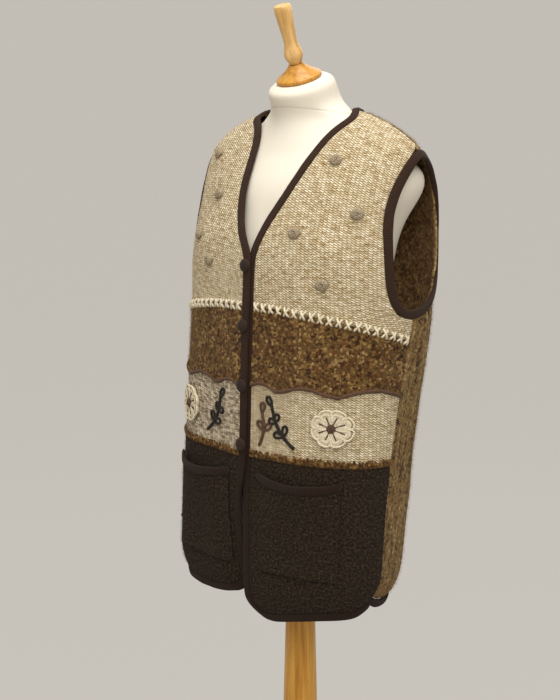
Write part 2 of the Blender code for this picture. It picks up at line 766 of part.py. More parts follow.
def buttons():
    rim = (BUTTON_RADIUS, BUTTON_RADIUS)
    for i, height in enumerate(BUTTON_HEIGHTS):
        dome(f"button_{i + 1}", 0.0, height, True, rim, BUTTON_HEIGHT, BIND_PROUD + SEAM, HORN, 14)


ROSETTE_RINGS = ((0.2, 0.0), (0.6, 0.0), (0.94, 0.0), (1.0, 0.5), (0.88, 1.0), (0.45, 1.0), (0.16, 1.25))


def rosette(name, x, height, over):
    """A round crocheted flower with a scalloped edge, lying on the cloth."""
    steps = ROSETTE_PETALS * 3
    rings = []
    for share, lift in ROSETTE_RINGS:
        ring = []
        for k in range(steps):
            around = 2 * math.pi * k / steps
            petal = 1 - 0.16 * share * (1 - abs(math.sin(ROSETTE_PETALS * around / 2)))
            reach = ROSETTE_RADIUS * share * petal
            z = height + reach * math.sin(around)
            angle = float(angle_of_x(x + reach * math.cos(around), z))
            ring.append(layer(angle, z, SEAM + ROSETTE_HEIGHT * lift, over))
        rings.append(ring)
    sweep(name, rings, ECRU)


FORM_SIDES = 30
FORM_ROUNDING = 0.006
FORM_HEIGHTS = (
    FORM_BOTTOM, FORM_BOTTOM + 0.007, 0.80, 0.88, 0.94, 1.00, 1.06, 1.12, 1.17, 1.21,
    1.245, 1.28, 1.31, 1.335, 1.350, 1.363, 1.376, 1.386, 1.394,
)

# Rings of the form's neck: share of the way up it, half-width, half-depth and share of the tilt
NeckRing = namedtuple("NeckRing", "climb half_width half_depth tilt")
NECK_RINGS = (
    NeckRing(0.10, 0.0640, 0.0520, 0.45),
    NeckRing(0.36, 0.0560, 0.0515, 0.62),
    NeckRing(0.67, 0.0530, 0.0520, 0.82),
    NeckRing(1.00, 0.0520, 0.0530, 1.00),
    NeckRing(1.12, 0.0370, 0.0370, 1.00),
)


def form_point(angle, height):
    """A point of the form: its own figure below, the cloth's inner shape at the shoulders."""
    radius = float(ring_radius(FORM, angle, height))
    if height == FORM_BOTTOM:
        radius = radius - FORM_ROUNDING
    y = float(column(FORM, "side_y", height)) - radius * math.cos(angle) + FIGURE_Y
    free = np.array([radius * math.sin(angle), y, height])
    fitted = layer(angle, height, -(WALL + BIND_PROUD + SHOULDER_EASE))
    share = float(ramp(SHOULDER_FIT_LOW, SHOULDER_FIT_HIGH, height))
    return free * (1 - share) + fitted * share


# The throat: above this height the form's open front rises straight to the foot of the neck
THROAT_START = 1.335
THROAT_SHARE = 0.9
THROAT_WHOLE = math.radians(22.0)
THROAT_END = math.radians(50.0)


def neck_point(row, angle):
    """A point of one ring of the neck, which leans forward as it climbs."""
    centre = NECK_FOOT + (NECK_TOP - NECK_FOOT) * row.climb
    flat = Vector((row.half_width * math.sin(angle), -row.half_depth * math.cos(angle), 0.0))
    return np.array(centre + Matrix.Rotation(NECK_TILT * row.tilt, 3, "X") @ flat)


def throat_point(angle, height):
    """A point of the form's shoulders, drawn to the throat where no cloth lies over it."""
    point = form_point(angle, height)
    climb = THROAT_SHARE * (height - THROAT_START) / (FORM_HEIGHTS[-1] - THROAT_START)
    if climb <= 0:
        return point
    foot, neck = form_point(angle, THROAT_START), neck_point(NECK_RINGS[0], angle)
    turn = min(angle, 2 * math.pi - angle)
    share = 1 - float(ramp(THROAT_WHOLE, THROAT_END, turn))
    return point * (1 - share) + (foot + (neck - foot) * climb) * share


def form_torso():
    """The limbless form, from its flat underside to its leaning neck."""
    angles = [2 * math.pi * k / FORM_SIDES for k in range(FORM_SIDES)]
    rings = [[throat_point(angle, height) for angle in angles] for height in FORM_HEIGHTS]
    rings += [[neck_point(row, angle) for angle in angles] for row in NECK_RINGS]
    sweep("form_torso", rings, LINEN)


def turned(name, profile, origin, tilt, finish_row, sides=28):
    """A turned solid: (radius, distance along the axis) pairs from one end to the other."""
    turn = Matrix.Rotation(tilt, 3, "X")
    rings = []
    for radius, along in profile:
        ring = []
        for k in range(sides):
            angle = 2 * math.pi * k / sides
            ring.append(origin + turn @ Vector((radius * math.cos(angle), radius * math.sin(angle), along)))
        rings.append(ring)
    return sweep(name, rings, finish_row)


CAP_PROFILE = (
    (0.0325, 0.0), (0.0348, 0.0012), (0.0348, 0.0052), (0.0325, 0.0068),
    (0.0200, 0.0150), (0.0135, 0.0212), (0.0115, 0.0245),
)
FINIAL_PROFILE = (
    (0.0085, 0.0), (0.0105, 0.0035), (0.0140, 0.0110), (0.0145, 0.0160), (0.0130, 0.0225), (0.0108, 0.0290),
    (0.0102, 0.0360), (0.0108, 0.0470), (0.0122, 0.0640), (0.0134, 0.0800), (0.0134, 0.0865),
    (0.0118, 0.0900),
)
POLE_PROFILE = (
    (0.0260, BASE_HEIGHT + SEAM), (0.0260, 0.040), (0.0285, 0.110), (0.0285, 0.330),
    (0.0270, 0.458), (0.0235, 0.600), (0.0225, FORM_BOTTOM - SEAM),
)
BASE_PROFILE = (
    (BASE_RADIUS - 0.004, 0.0), (BASE_RADIUS, 0.004), (BASE_RADIUS, BASE_HEIGHT - 0.010),
    (BASE_RADIUS - 0.004, BASE_HEIGHT - 0.004), (BASE_RADIUS - 0.014, BASE_HEIGHT),
)


def stand():
    seat = Matrix.Rotation(NECK_TILT, 3, "X") @ Vector((0.0, 0.0, 1.0))
    neck_end = NECK_FOOT + (NECK_TOP - NECK_FOOT) * NECK_RINGS[-1].climb
    cap_top = neck_end + seat * (CAP_PROFILE[-1][1] + 2 * SEAM)
    floor = Vector((0.0, 0.0, 0.0))
    turned("neck_cap", CAP_PROFILE, neck_end + seat * SEAM, NECK_TILT, BEECH)
    turned("finial", FINIAL_PROFILE, cap_top, NECK_TILT, BEECH, 20)
    turned("pole", POLE_PROFILE, floor, 0.0, BEECH, 24)
    turned("base", BASE_PROFILE, floor, 0.0, BEECH, 48)


def main():
    for old in list(bpy.data.objects):
        bpy.data.objects.remove(old, do_unlink=True)
    for side, over in (("left", False), ("right", True)):
        front(side, over)
    back()
    armhole_bindings()
    pocket("left", False, LEFT_POCKET_GAPE)
    pocket("right", True, RIGHT_POCKET_GAPE)
    bobbles()
    buttons()
    rosette("rosette_left", ROSETTE_LEFT_X, ROSETTE_Z, False)
    rosette("rosette_right", ROSETTE_RIGHT_X, ROSETTE_Z, True)
    form_torso()
    stand()


main()
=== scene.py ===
# %% [markdown]
# # A knitted vest on a dress form
# The real thing is a long sleeveless vest of chunky machine knitting, buttoned on a limbless form with a
# turned wooden stand. Its solid shapes are in the frame. This lesson gives each piece its yarn, its seams,
# its hand stitching and its fuzz. Lengths are in metres, +Z is up, the wearer faces -Y and the wearer's
# left is +X. Everything starts from the frame, so a piece goes where its solid is and needs no fitting.

# %% Load the frame
import itertools
import math
import random
from collections import namedtuple

import bmesh
import bpy
import numpy as np
from mathutils import Matrix, Vector, noise
from mathutils.bvhtree import BVHTree


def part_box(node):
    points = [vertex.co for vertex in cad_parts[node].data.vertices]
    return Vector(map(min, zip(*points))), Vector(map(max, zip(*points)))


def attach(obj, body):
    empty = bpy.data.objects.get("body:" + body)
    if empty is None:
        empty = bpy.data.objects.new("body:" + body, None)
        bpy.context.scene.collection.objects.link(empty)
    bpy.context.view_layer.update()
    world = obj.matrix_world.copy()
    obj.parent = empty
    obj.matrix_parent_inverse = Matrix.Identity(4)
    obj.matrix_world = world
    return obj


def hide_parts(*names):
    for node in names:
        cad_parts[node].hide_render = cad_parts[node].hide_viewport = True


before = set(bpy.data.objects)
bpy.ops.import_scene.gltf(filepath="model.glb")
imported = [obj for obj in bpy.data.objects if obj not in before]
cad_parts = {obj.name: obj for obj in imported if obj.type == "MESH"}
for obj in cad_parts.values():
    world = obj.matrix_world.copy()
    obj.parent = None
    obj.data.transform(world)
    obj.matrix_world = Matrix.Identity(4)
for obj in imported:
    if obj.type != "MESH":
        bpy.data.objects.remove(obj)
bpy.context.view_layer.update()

# %% [markdown]
# ## Skins of cloth
# A panel of the vest is a wall about 3 mm thick. For its looks only the outer side is needed, because a
# Solidify modifier gives the wall back at the end. A frame solid is loose triangles, so a copy is merged
# first, and the triangles are joined to quads, which subdivide far more evenly. The outer side is the set
# of faces that look away from the middle of the figure; over the shoulders that direction turns upwards.

# %% Copies of the frame's solids
SIDES = ("left", "right")
FIGURE_MIDDLE_Y = 0.012
CHEST_HEIGHT = 1.22
MERGE = 0.00005
SKIN_SLOPE = 0.45
PAIR_ANGLE = math.radians(60)
PAIR_SHAPE = math.radians(70)


def outward(point):
    """The way out from the middle of the figure, turning upwards over the shoulders."""
    core = Vector((0.0, FIGURE_MIDDLE_Y, min(point.z, CHEST_HEIGHT)))
    return (point - core).normalized()


def merged(node):
    """A copy of a frame solid with its loose triangles joined up."""
    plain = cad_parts[node].data.copy()
    for name in [layer.name for layer in plain.attributes if layer.domain == "CORNER"]:
        if not name.startswith("."):
            plain.attributes.remove(plain.attributes[name])
    shape = bmesh.new()
    shape.from_mesh(plain)
    bpy.data.meshes.remove(plain)
    bmesh.ops.remove_doubles(shape, verts=shape.verts, dist=MERGE)
    return shape


def joined_to_quads(shape):
    """Joins pairs of triangles, the best matched first."""
    bmesh.ops.join_triangles(
        shape, faces=shape.faces, cmp_seam=False, cmp_sharp=False, cmp_uvs=False, cmp_vcols=False,
        cmp_materials=False, angle_face_threshold=PAIR_ANGLE, angle_shape_threshold=PAIR_SHAPE,
    )


def stray_faces(shape):
    """The faces outside the largest connected patch."""
    left, patches = set(shape.faces), []
    while left:
        row = {left.pop()}
        patch = set(row)
        while row:
            row = {f for face in row for e in face.edges for f in e.link_faces} - patch
            patch |= row
        patches.append(patch)
        left -= patch
    largest = max(patches, key=len)
    return [face for face in shape.faces if face not in largest]


def outer_skin(node):
    """The outer side of a cloth's wall, without its rims and its inner side."""
    shape = merged(node)
    hidden = [f for f in shape.faces if f.normal.dot(outward(f.calc_center_median())) < SKIN_SLOPE]
    bmesh.ops.delete(shape, geom=hidden, context="FACES")
    bmesh.ops.delete(shape, geom=stray_faces(shape), context="FACES")
    joined_to_quads(shape)
    return shape


sample = outer_skin("yoke_left")
print("left yoke skin:", len(sample.faces), "faces")
sample.free()

# %% [markdown]
# ## From a shape to a named piece
# Every piece keeps its object at the origin and its place in its mesh. It rides on the part's one body and
# stands for the solids that it hides. Two small helpers finish a mesh: one applies a few levels of
# subdivision, and one moves each point along its own normal, which is how all the relief here is made.

# %% Helpers that finish a piece
def finished(name, shape, material, *nodes):
    """A smooth named piece that rides on the part and stands for the given solids."""
    mesh = bpy.data.meshes.new(name)
    shape.to_mesh(mesh)
    shape.free()
    mesh.materials.clear()
    mesh.materials.append(material)
    mesh.shade_smooth()
    piece = bpy.data.objects.new(name, mesh)
    bpy.context.scene.collection.objects.link(piece)
    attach(piece, "root")
    if nodes:
        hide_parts(*nodes)
    return piece


def applied(piece):
    """Makes the piece's modifiers part of its mesh."""
    bpy.context.view_layer.update()
    seen = piece.evaluated_get(bpy.context.evaluated_depsgraph_get())
    fine = bpy.data.meshes.new_from_object(seen)
    piece.modifiers.clear()
    piece.data = fine


def subdivided(piece, levels):
    """Rounds off the coarse quads with this many levels of subdivision."""
    rounding = piece.modifiers.new("Rounding", "SUBSURF")
    rounding.levels = levels
    rounding.render_levels = levels
    rounding.boundary_smooth = "PRESERVE_CORNERS"
    applied(piece)


def raised(piece, relief):
    """Moves each point along its own normal by what relief(places) gives for it."""
    vertices = piece.data.vertices
    places = np.empty(len(vertices) * 3)
    normals = np.empty(len(vertices) * 3)
    vertices.foreach_get("co", places)
    vertices.foreach_get("normal", normals)
    places = places.reshape(-1, 3)
    moved = places + normals.reshape(-1, 3) * relief(places)[:, None]
    vertices.foreach_set("co", moved.ravel())
    piece.data.update()


def ripple(places, size):
    """A smooth random number from -1 to 1 at each place, with waves of about this size."""
    return np.array([noise.noise(Vector(place) / size) for place in places])


print("helpers ready: finished, applied, subdivided, raised")

# %% [markdown]
# ## The flat cut
# A knitted panel is made flat, and its rows of stitches follow the flat cut, not the height in the room.
# Blender's unwrap can lay the curved skin flat with hardly any stretch, which is just the maker's pattern
# piece. It is turned so that the rows are level, and scaled so that one unit is a metre. The same map then
# carries the stitches in the material, and its size is the size that the cloth was cut to.

# %% Unwrap a skin as its maker's flat cut
CUT = "cut"
UNWRAP_STEPS = 12


def fits_upright(flat, heights):
    """The turn that makes the height grow straight up the flat cut."""
    table = np.column_stack([flat, np.ones(len(flat))])
    across, up, _ = np.linalg.lstsq(table, heights, rcond=None)[0]
    return math.atan2(across, up)


def lay_flat(piece):
    """Unwraps the skin, turns it upright, scales it to metres, and gives its width, length and area."""
    piece.data.uv_layers.new(name=CUT)
    bpy.context.view_layer.objects.active = piece
    piece.select_set(True)
    bpy.ops.object.mode_set(mode="EDIT")
    bpy.ops.mesh.select_all(action="SELECT")
    bpy.ops.uv.unwrap(method="MINIMUM_STRETCH", iterations=UNWRAP_STEPS, fill_holes=False, margin=0.0)
    bpy.ops.object.mode_set(mode="OBJECT")
    piece.select_set(False)
    mesh = piece.data
    mesh.calc_loop_triangles()
    corners = np.array([triangle.loops for triangle in mesh.loop_triangles])
    flat = np.array([corner.uv for corner in mesh.uv_layers[CUT].data])
    place = np.array([mesh.vertices[loop.vertex_index].co for loop in mesh.loops])
    first, second = flat[corners[:, 1]] - flat[corners[:, 0]], flat[corners[:, 2]] - flat[corners[:, 0]]
    flat_area = abs(first[:, 0] * second[:, 1] - first[:, 1] * second[:, 0]).sum() / 2
    area = sum(face.area for face in mesh.polygons)
    turn = fits_upright(flat, place[:, 2])
    rotation = np.array([[math.cos(turn), math.sin(turn)], [-math.sin(turn), math.cos(turn)]])
    flat = flat @ rotation * math.sqrt(area / flat_area)
    flat = flat - flat.min(axis=0)
    mesh.uv_layers[CUT].data.foreach_set("uv", flat.ravel())
    width, length = flat.max(axis=0)
    return float(width), float(length), float(area)


print("a flat cut carries the map named", CUT)

# %% [markdown]
# ## Yarn colours and a little node kit
# The materials below are all built from the same few nodes, so a short helper adds a node, sets it and
# joins it in one call. Yarn colours are easiest to pick as they look on a screen, from 0 to 255, so
# another helper turns such a colour into the linear light that the renderer works in.

# %% Node helpers
def yarn(red, green, blue):
    """A colour picked as it looks on a screen, from 0 to 255, as linear light."""
    shares = [value / 255 for value in (red, green, blue)]
    return tuple(s / 12.92 if s <= 0.04045 else ((s + 0.055) / 1.055) ** 2.4 for s in shares)


class Finish:
    """A material under construction: its shader, and short ways to add and join nodes."""

    def __init__(self, name, roughness, sheen=0.0, shine=0.2):
        self.material = bpy.data.materials.new(name)
        self.material.use_nodes = True
        self.tree = self.material.node_tree
        self.shader = self.tree.nodes["Principled BSDF"]
        self.shader.inputs["Roughness"].default_value = roughness
        self.shader.inputs["Sheen Weight"].default_value = sheen
        self.shader.inputs["Sheen Roughness"].default_value = 0.55
        self.shader.inputs["Specular IOR Level"].default_value = shine

    def add(self, kind, inputs=(), **settings):
        made = self.tree.nodes.new(kind)
        for key, value in settings.items():
            setattr(made, key, value)
        for key, value in dict(inputs).items():
            if isinstance(value, bpy.types.NodeSocket):
                self.tree.links.new(value, made.inputs[key])
            else:
                made.inputs[key].default_value = value
        return made

    def sum(self, operation, first, second=0.0):
        return self.add("ShaderNodeMath", {0: first, 1: second}, operation=operation).outputs[0]

    def plus(self, first, second):
        return self.sum("ADD", first, second)

    def less(self, first, second):
        return self.sum("SUBTRACT", first, second)

    def times(self, first, second):
        return self.sum("MULTIPLY", first, second)

    def flat(self, name):
        """The place on one of the piece's own flat maps."""
        return self.add("ShaderNodeUVMap", uv_map=name).outputs[0]

    def place(self):
        """The place in the part, which stays with the piece."""
        return self.add("ShaderNodeTexCoord").outputs["Object"]

    def noise(self, vector, scale, detail=2.0, roughness=0.5):
        inputs = {"Vector": vector, "Scale": scale, "Detail": detail, "Roughness": roughness}
        return self.add("ShaderNodeTexNoise", inputs).outputs[0]

    def scaled(self, vector, size):
        """The vector in units of the given size, so that one unit is one repeat."""
        by = tuple(1.0 / s for s in size)
        return self.add("ShaderNodeVectorMath", {0: vector, 1: by}, operation="MULTIPLY").outputs[0]

    def ramp(self, factor, stops):
        """A colour for each factor; a stop is a place from 0 to 1 and a colour from 0 to 255."""
        made = self.add("ShaderNodeValToRGB", {0: factor})
        elements = made.color_ramp.elements
        while len(elements) < len(stops):
            elements.new(0.5)
        for element, (place, *colour) in zip(elements, stops):
            element.position = place
            element.color = (*yarn(*colour), 1.0)
        return made.outputs[0]

    def darkened(self, colour, share):
        """The colour multiplied by a share from 0 to 1."""
        return self.add("ShaderNodeVectorMath", {0: colour, 3: share}, operation="SCALE").outputs[0]

    def done(self, colour, height, depth, strength=1.0):
        """Joins the colour and a bump of the given depth in metres to the shader."""
        self.tree.links.new(colour, self.shader.inputs["Base Color"])
        inputs = {"Height": height, "Distance": depth, "Strength": strength}
        bump = self.add("ShaderNodeBump", inputs)
        self.tree.links.new(bump.outputs[0], self.shader.inputs["Normal"])
        return self.material


print("screen colour 182, 163, 128 is", [round(part, 3) for part in yarn(182, 163, 128)])

# %% [markdown]
# ## Knitting
# Stockinette is rows of small V shapes: each stitch has two legs that lean towards each other. Drawing it
# needs no picture. Across one stitch, the row is shifted up along one leg and down along the other, so a
# straight thread becomes a V, and a sine across the thread makes it round. This knit is pulled a little
# askew, so one leg is longer. A melange yarn changes shade every few millimetres, so each stitch takes its
# own random shade, mixed with streaks that run along the rows.

# %% The knitted yarns
STITCH = 0.0064
ROW = 0.0036
LEAN = 0.7
LONG_LEG = 0.7
WANDER = 0.0014
WANDER_SCALE = 90.0
FOOT_HEIGHT = 0.45
# Painted shade in the gaps between the threads, and a little painted light on their tops.
GAP_PAINTED_SHADE = 0.26
THREAD_PAINTED_LIGHT = 1.06
KNIT_DEPTH = 0.0011


def knitted(name, shades, streak, mottle):
    """A melange knit; shades go from dark to light, streak is the length of a run of one shade, and
    mottle is the share of the shade that changes from stitch to stitch."""
    cloth = Finish(name, 0.95, sheen=0.06)
    flat = cloth.flat(CUT)
    inputs = {"Vector": flat, "Scale": WANDER_SCALE, "Detail": 2.0}
    wander = cloth.add("ShaderNodeTexNoise", inputs).outputs[1]
    centred = cloth.add("ShaderNodeVectorMath", {0: wander, 1: (0.5, 0.5, 0.5)}, operation="SUBTRACT")
    shift = cloth.add("ShaderNodeVectorMath", {0: centred.outputs[0], 3: WANDER}, operation="SCALE")
    loose = cloth.add("ShaderNodeVectorMath", {0: flat, 1: shift.outputs[0]}, operation="ADD")
    counted = cloth.scaled(loose.outputs[0], (STITCH, ROW, 1.0))
    parts = cloth.add("ShaderNodeSeparateXYZ", {0: counted}).outputs
    across = cloth.sum("FRACT", parts[0])
    falling = cloth.sum("DIVIDE", across, LONG_LEG)
    rising = cloth.sum("DIVIDE", cloth.less(1.0, across), 1.0 - LONG_LEG)
    wing = cloth.sum("MINIMUM", falling, rising)
    slanted = cloth.plus(parts[1], cloth.times(wing, LEAN))
    thread = cloth.sum("SINE", cloth.times(cloth.sum("FRACT", slanted), math.pi))
    leg = cloth.sum("POWER", cloth.sum("SINE", cloth.times(across, math.pi)), 0.5)
    height = cloth.times(thread, cloth.plus(FOOT_HEIGHT, cloth.times(leg, 1.0 - FOOT_HEIGHT)))
    stitch = cloth.sum("FLOOR", parts[0])
    cell = cloth.add("ShaderNodeCombineXYZ", {0: stitch, 1: cloth.sum("FLOOR", slanted)}).outputs[0]
    own_shade = cloth.add("ShaderNodeTexWhiteNoise", {"Vector": cell}, noise_dimensions="2D").outputs[0]
    run = cloth.noise(cloth.scaled(flat, (streak, ROW, 1.0)), 1.0, 1.0)
    mixed = cloth.plus(cloth.times(own_shade, mottle), cloth.times(run, 1 - mottle))
    fibres = cloth.noise(flat, 2600.0, 3.0, 0.7)
    mixed = cloth.plus(mixed, cloth.times(cloth.less(fibres, 0.5), 0.15))
    colour = cloth.ramp(mixed, shades)
    # Painted shade: the colour is darker where the thread is low, between the stitches and the rows.
    colour = cloth.darkened(colour, cloth.plus(GAP_PAINTED_SHADE, cloth.times(height, THREAD_PAINTED_LIGHT)))
    relief = cloth.plus(height, cloth.times(fibres, 0.35))
    return cloth.done(colour, relief, KNIT_DEPTH)


cream_yarn = knitted("cream yarn", [
    (0.18, 146, 118, 78), (0.36, 186, 163, 123), (0.55, 213, 195, 160),
    (0.74, 233, 219, 190), (0.9, 244, 234, 212),
], 0.012, 0.28)
oatmeal_yarn = knitted("oatmeal yarn", [
    (0.15, 150, 124, 86), (0.36, 190, 168, 129), (0.55, 214, 197, 162),
    (0.8, 238, 226, 199),
], 0.012, 0.28)
marled_yarn = knitted("marled grey yarn", [
    (0.28, 110, 95, 75), (0.42, 156, 139, 114), (0.54, 196, 179, 151),
    (0.68, 226, 213, 188), (0.85, 236, 227, 206),
], 0.010, 0.26)
print("knitted yarns:", cream_yarn.name, oatmeal_yarn.name, marled_yarn.name)

# %% [markdown]
# ## Looped tweed and fulled wool
# The brown band, the sides and the back are knitted from a looped yarn, so no stitch shows, only small
# curls of rust, ochre, olive and near black. Cells of a Voronoi texture on a wavering coordinate give the
# curls. The dark skirt is fulled: washed until the stitches close. It is nearly one tone, with pale hairs
# and specks in it. Both read the flat cut too, so that the pattern keeps its size round the side.

# %% Tweed and fulled wool
def looped(name, shades, curl, depth, ribs=0.0):
    """A curly tweed of many shades; curl is the size of one loop, and ribs is how much upright ribs show."""
    cloth = Finish(name, 0.95, sheen=0.05)
    flat = cloth.flat(CUT)
    sway = cloth.add("ShaderNodeTexNoise", {"Vector": flat, "Scale": 0.6 / curl, "Detail": 3.0}).outputs[1]
    swayed = cloth.add("ShaderNodeVectorMath", {0: sway, 3: 1.6 * curl}, operation="SCALE").outputs[0]
    place = cloth.add("ShaderNodeVectorMath", {0: flat, 1: swayed}, operation="ADD").outputs[0]
    curls = cloth.add("ShaderNodeTexVoronoi", {"Vector": place, "Scale": 1.0 / curl, "Randomness": 1.0})
    shade = cloth.add("ShaderNodeSeparateColor", {0: curls.outputs["Color"]}).outputs[0]
    fibres = cloth.noise(place, 5.5 / curl, 3.0, 0.7)
    patches = cloth.noise(flat, 38.0, 2.0)
    mixed = cloth.plus(cloth.times(shade, 0.40), cloth.times(fibres, 0.40))
    mixed = cloth.plus(mixed, cloth.times(patches, 0.28))
    columns = cloth.noise(cloth.scaled(flat, (0.010, 0.16, 1.0)), 1.0, 2.0)
    mixed = cloth.plus(mixed, cloth.times(cloth.less(columns, 0.5), ribs))
    hump = cloth.less(1.0, curls.outputs["Distance"])
    # Painted shade between the curls: each curl is darker away from its raised middle.
    colour = cloth.darkened(cloth.ramp(mixed, shades), cloth.plus(0.42, cloth.times(hump, 0.6)))
    return cloth.done(colour, cloth.plus(hump, cloth.times(fibres, 0.6)), depth)


def fulled(name):
    """Dark wool washed until its stitches close, with pale hairs in it."""
    cloth = Finish(name, 0.97, sheen=0.015, shine=0.1)
    flat = cloth.flat(CUT)
    lumps = cloth.noise(flat, 260.0, 3.0, 0.6)
    fibres = cloth.noise(flat, 1500.0, 4.0, 0.75)
    hairs = cloth.noise(cloth.scaled(flat, (0.0035, 0.0011, 1.0)), 1.0, 4.0, 0.8)
    base = cloth.ramp(cloth.times(cloth.plus(lumps, fibres), 0.5), [
        (0.37, 12, 8, 5), (0.5, 38, 29, 21), (0.61, 76, 62, 48),
    ])
    pale = cloth.add("ShaderNodeMapRange", {"Value": hairs, "From Min": 0.57, "From Max": 0.70}).outputs[0]
    inputs = {0: cloth.times(pale, 0.55), 6: base, 7: (*yarn(126, 112, 92), 1.0)}
    colour = cloth.add("ShaderNodeMix", inputs, data_type="RGBA").outputs[2]
    return cloth.done(colour, cloth.plus(lumps, cloth.times(fibres, 0.6)), 0.0020)


band_tweed = looped("brown tweed", [
    (0.3, 36, 22, 12), (0.42, 92, 54, 24), (0.5, 122, 82, 42),
    (0.57, 106, 86, 44), (0.66, 160, 118, 62), (0.8, 200, 170, 116),
], 0.0040, 0.0018)
side_tweed = looped("olive brown tweed", [
    (0.28, 66, 44, 22), (0.42, 124, 90, 48), (0.54, 160, 126, 74),
    (0.66, 150, 126, 76), (0.84, 212, 182, 128),
], 0.0044, 0.0016, 0.9)
# A lighter copy of the tweed for the inner side: painted light to lift the shade inside the armholes.
inside_tweed = looped("inner tweed painted lighter", [
    (0.3, 92, 60, 30), (0.5, 150, 110, 62), (0.7, 186, 148, 92), (0.86, 214, 182, 130),
], 0.0046, 0.0014)
dark_wool = fulled("fulled charcoal wool")
print("tweeds and wool:", band_tweed.name, side_tweed.name, inside_tweed.name, dark_wool.name)

# %% [markdown]
# ## How the cloth hangs
# The solids already hold the large folds. A worn knit also has a few long soft creases, where the shoulder
# pulls and where the cloth leans on the pocket. Each is a short row of a table, with the two ends of its
# line, its half-width and its depth; a trough has a negative depth. Similar ones are on the hidden back.
# On top of that, a slow noise keeps any surface from being machine smooth.

# %% Soft creases
Crease = namedtuple("Crease", "start end width depth")
CREASES = (
    Crease((0.150, -0.075, 1.310), (0.160, -0.095, 1.170), 0.020, -0.0026),
    Crease((0.180, -0.070, 1.160), (0.090, -0.112, 1.235), 0.018, 0.0018),
    Crease((0.120, -0.118, 1.150), (0.190, -0.075, 1.090), 0.014, -0.0016),
    Crease((0.060, -0.110, 1.180), (0.085, -0.105, 1.120), 0.016, 0.0012),
    Crease((-0.150, -0.075, 1.300), (-0.155, -0.095, 1.180), 0.019, -0.0024),
    Crease((-0.180, -0.070, 1.150), (-0.100, -0.112, 1.230), 0.018, 0.0016),
    Crease((0.175, -0.090, 0.960), (0.185, -0.090, 0.760), 0.016, -0.0022),
    Crease((0.060, -0.128, 0.870), (0.052, -0.128, 0.700), 0.015, 0.0014),
    Crease((0.120, -0.120, 0.885), (0.150, -0.115, 0.900), 0.010, 0.0010),
    Crease((-0.165, -0.095, 0.950), (-0.175, -0.095, 0.740), 0.016, -0.0020),
    Crease((-0.060, -0.128, 0.700), (-0.075, -0.128, 0.860), 0.014, 0.0012),
    Crease((0.205, 0.020, 1.060), (0.200, 0.010, 0.860), 0.015, -0.0024),
    Crease((0.195, 0.060, 1.040), (0.190, 0.050, 0.700), 0.016, 0.0024),
    Crease((-0.200, 0.020, 1.060), (-0.195, 0.010, 0.840), 0.015, -0.0024),
    Crease((0.130, 0.150, 1.310), (0.150, 0.155, 1.120), 0.022, -0.0028),
    Crease((-0.140, 0.150, 1.300), (-0.140, 0.155, 1.140), 0.022, -0.0028),
    Crease((0.050, 0.160, 1.290), (0.000, 0.165, 1.200), 0.020, 0.0020),
    Crease((-0.060, 0.150, 0.980), (-0.075, 0.120, 0.760), 0.020, 0.0024),
)


def hanging(places):
    """How far the creases and a slow waver move the points of the cloth."""
    total = 0.0010 * ripple(places, 0.062)
    for crease in CREASES:
        start, end = np.array(crease.start), np.array(crease.end)
        line = end - start
        share = np.clip((places - start) @ line / (line @ line), 0.0, 1.0)
        away = np.linalg.norm(places - start - share[:, None] * line, axis=1) / crease.width
        total += crease.depth * np.sin(math.pi * (0.15 + 0.7 * share)) * np.exp(-away * away)
    return total


def knit_relief(places):
    return hanging(places) + 0.0003 * ripple(places, 0.0077)


def curl_relief(places):
    """Small lumps, as loops of yarn make them."""
    nearest = np.array([noise.voronoi(Vector(place) / 0.0062)[0][0] for place in places])
    return hanging(places) + 0.0016 * (0.5 - nearest) + 0.0004 * ripple(places, 0.0024)


print(len(CREASES), "creases,", round(1000 * max(abs(c.depth) for c in CREASES), 1), "mm deep at most")

# %% [markdown]
# ## The panels
# Each panel is one piece: its outer skin, laid flat for its stitches, subdivided, given its creases and
# then its wall. The wall goes inwards, as the solid's does. On the back, the inner side shows through the
# armholes in shade, so the Solidify modifier gives its inner side the second material slot: a copy of the
# tweed that is painted lighter, as painted light to lift that shade.

# %% Make the panels
WALL = 0.0030
Panel = namedtuple("Panel", "name node material relief levels slot")
PANELS = (
    Panel("knit_yoke_left", "yoke_left", cream_yarn, knit_relief, 3, "cream_wool"),
    Panel("knit_yoke_right", "yoke_right", cream_yarn, knit_relief, 3, "cream_wool"),
    Panel("tweed_left", "tweed_band_left", band_tweed, curl_relief, 4, "brown_tweed"),
    Panel("tweed_right", "tweed_band_right", band_tweed, curl_relief, 4, "brown_tweed"),
    Panel("oatmeal_left", "cream_panel_left", oatmeal_yarn, knit_relief, 3, "oatmeal_wool"),
    Panel("marled_right", "marled_panel_right", marled_yarn, knit_relief, 3, "marled_grey_wool"),
    Panel("fulled_skirt_left", "skirt_left", dark_wool, knit_relief, 3, "charcoal_brown_wool"),
    Panel("fulled_skirt_right", "skirt_right", dark_wool, knit_relief, 3, "charcoal_brown_wool"),
    Panel("tweed_back", "back", side_tweed, curl_relief, 3, "brown_tweed"),
)
cuts = {}


def panel(row, thickness=WALL):
    piece = finished(row.name, outer_skin(row.node), row.material, row.node)
    piece.data.materials.append(inside_tweed if row.material in (side_tweed, band_tweed) else row.material)
    cuts[row.name] = lay_flat(piece)
    subdivided(piece, row.levels)
    raised(piece, row.relief)
    wall = piece.modifiers.new("Wall", "SOLIDIFY")
    wall.thickness = thickness
    wall.offset = -1.0
    wall.material_offset = 1
    width, length, area = cuts[row.name]
    print(f"{row.name}: {width:.3f} x {length:.3f} m flat, {area:.4f} m2, {len(piece.data.polygons)} faces")
    return piece


panels = {row.name: panel(row) for row in PANELS}

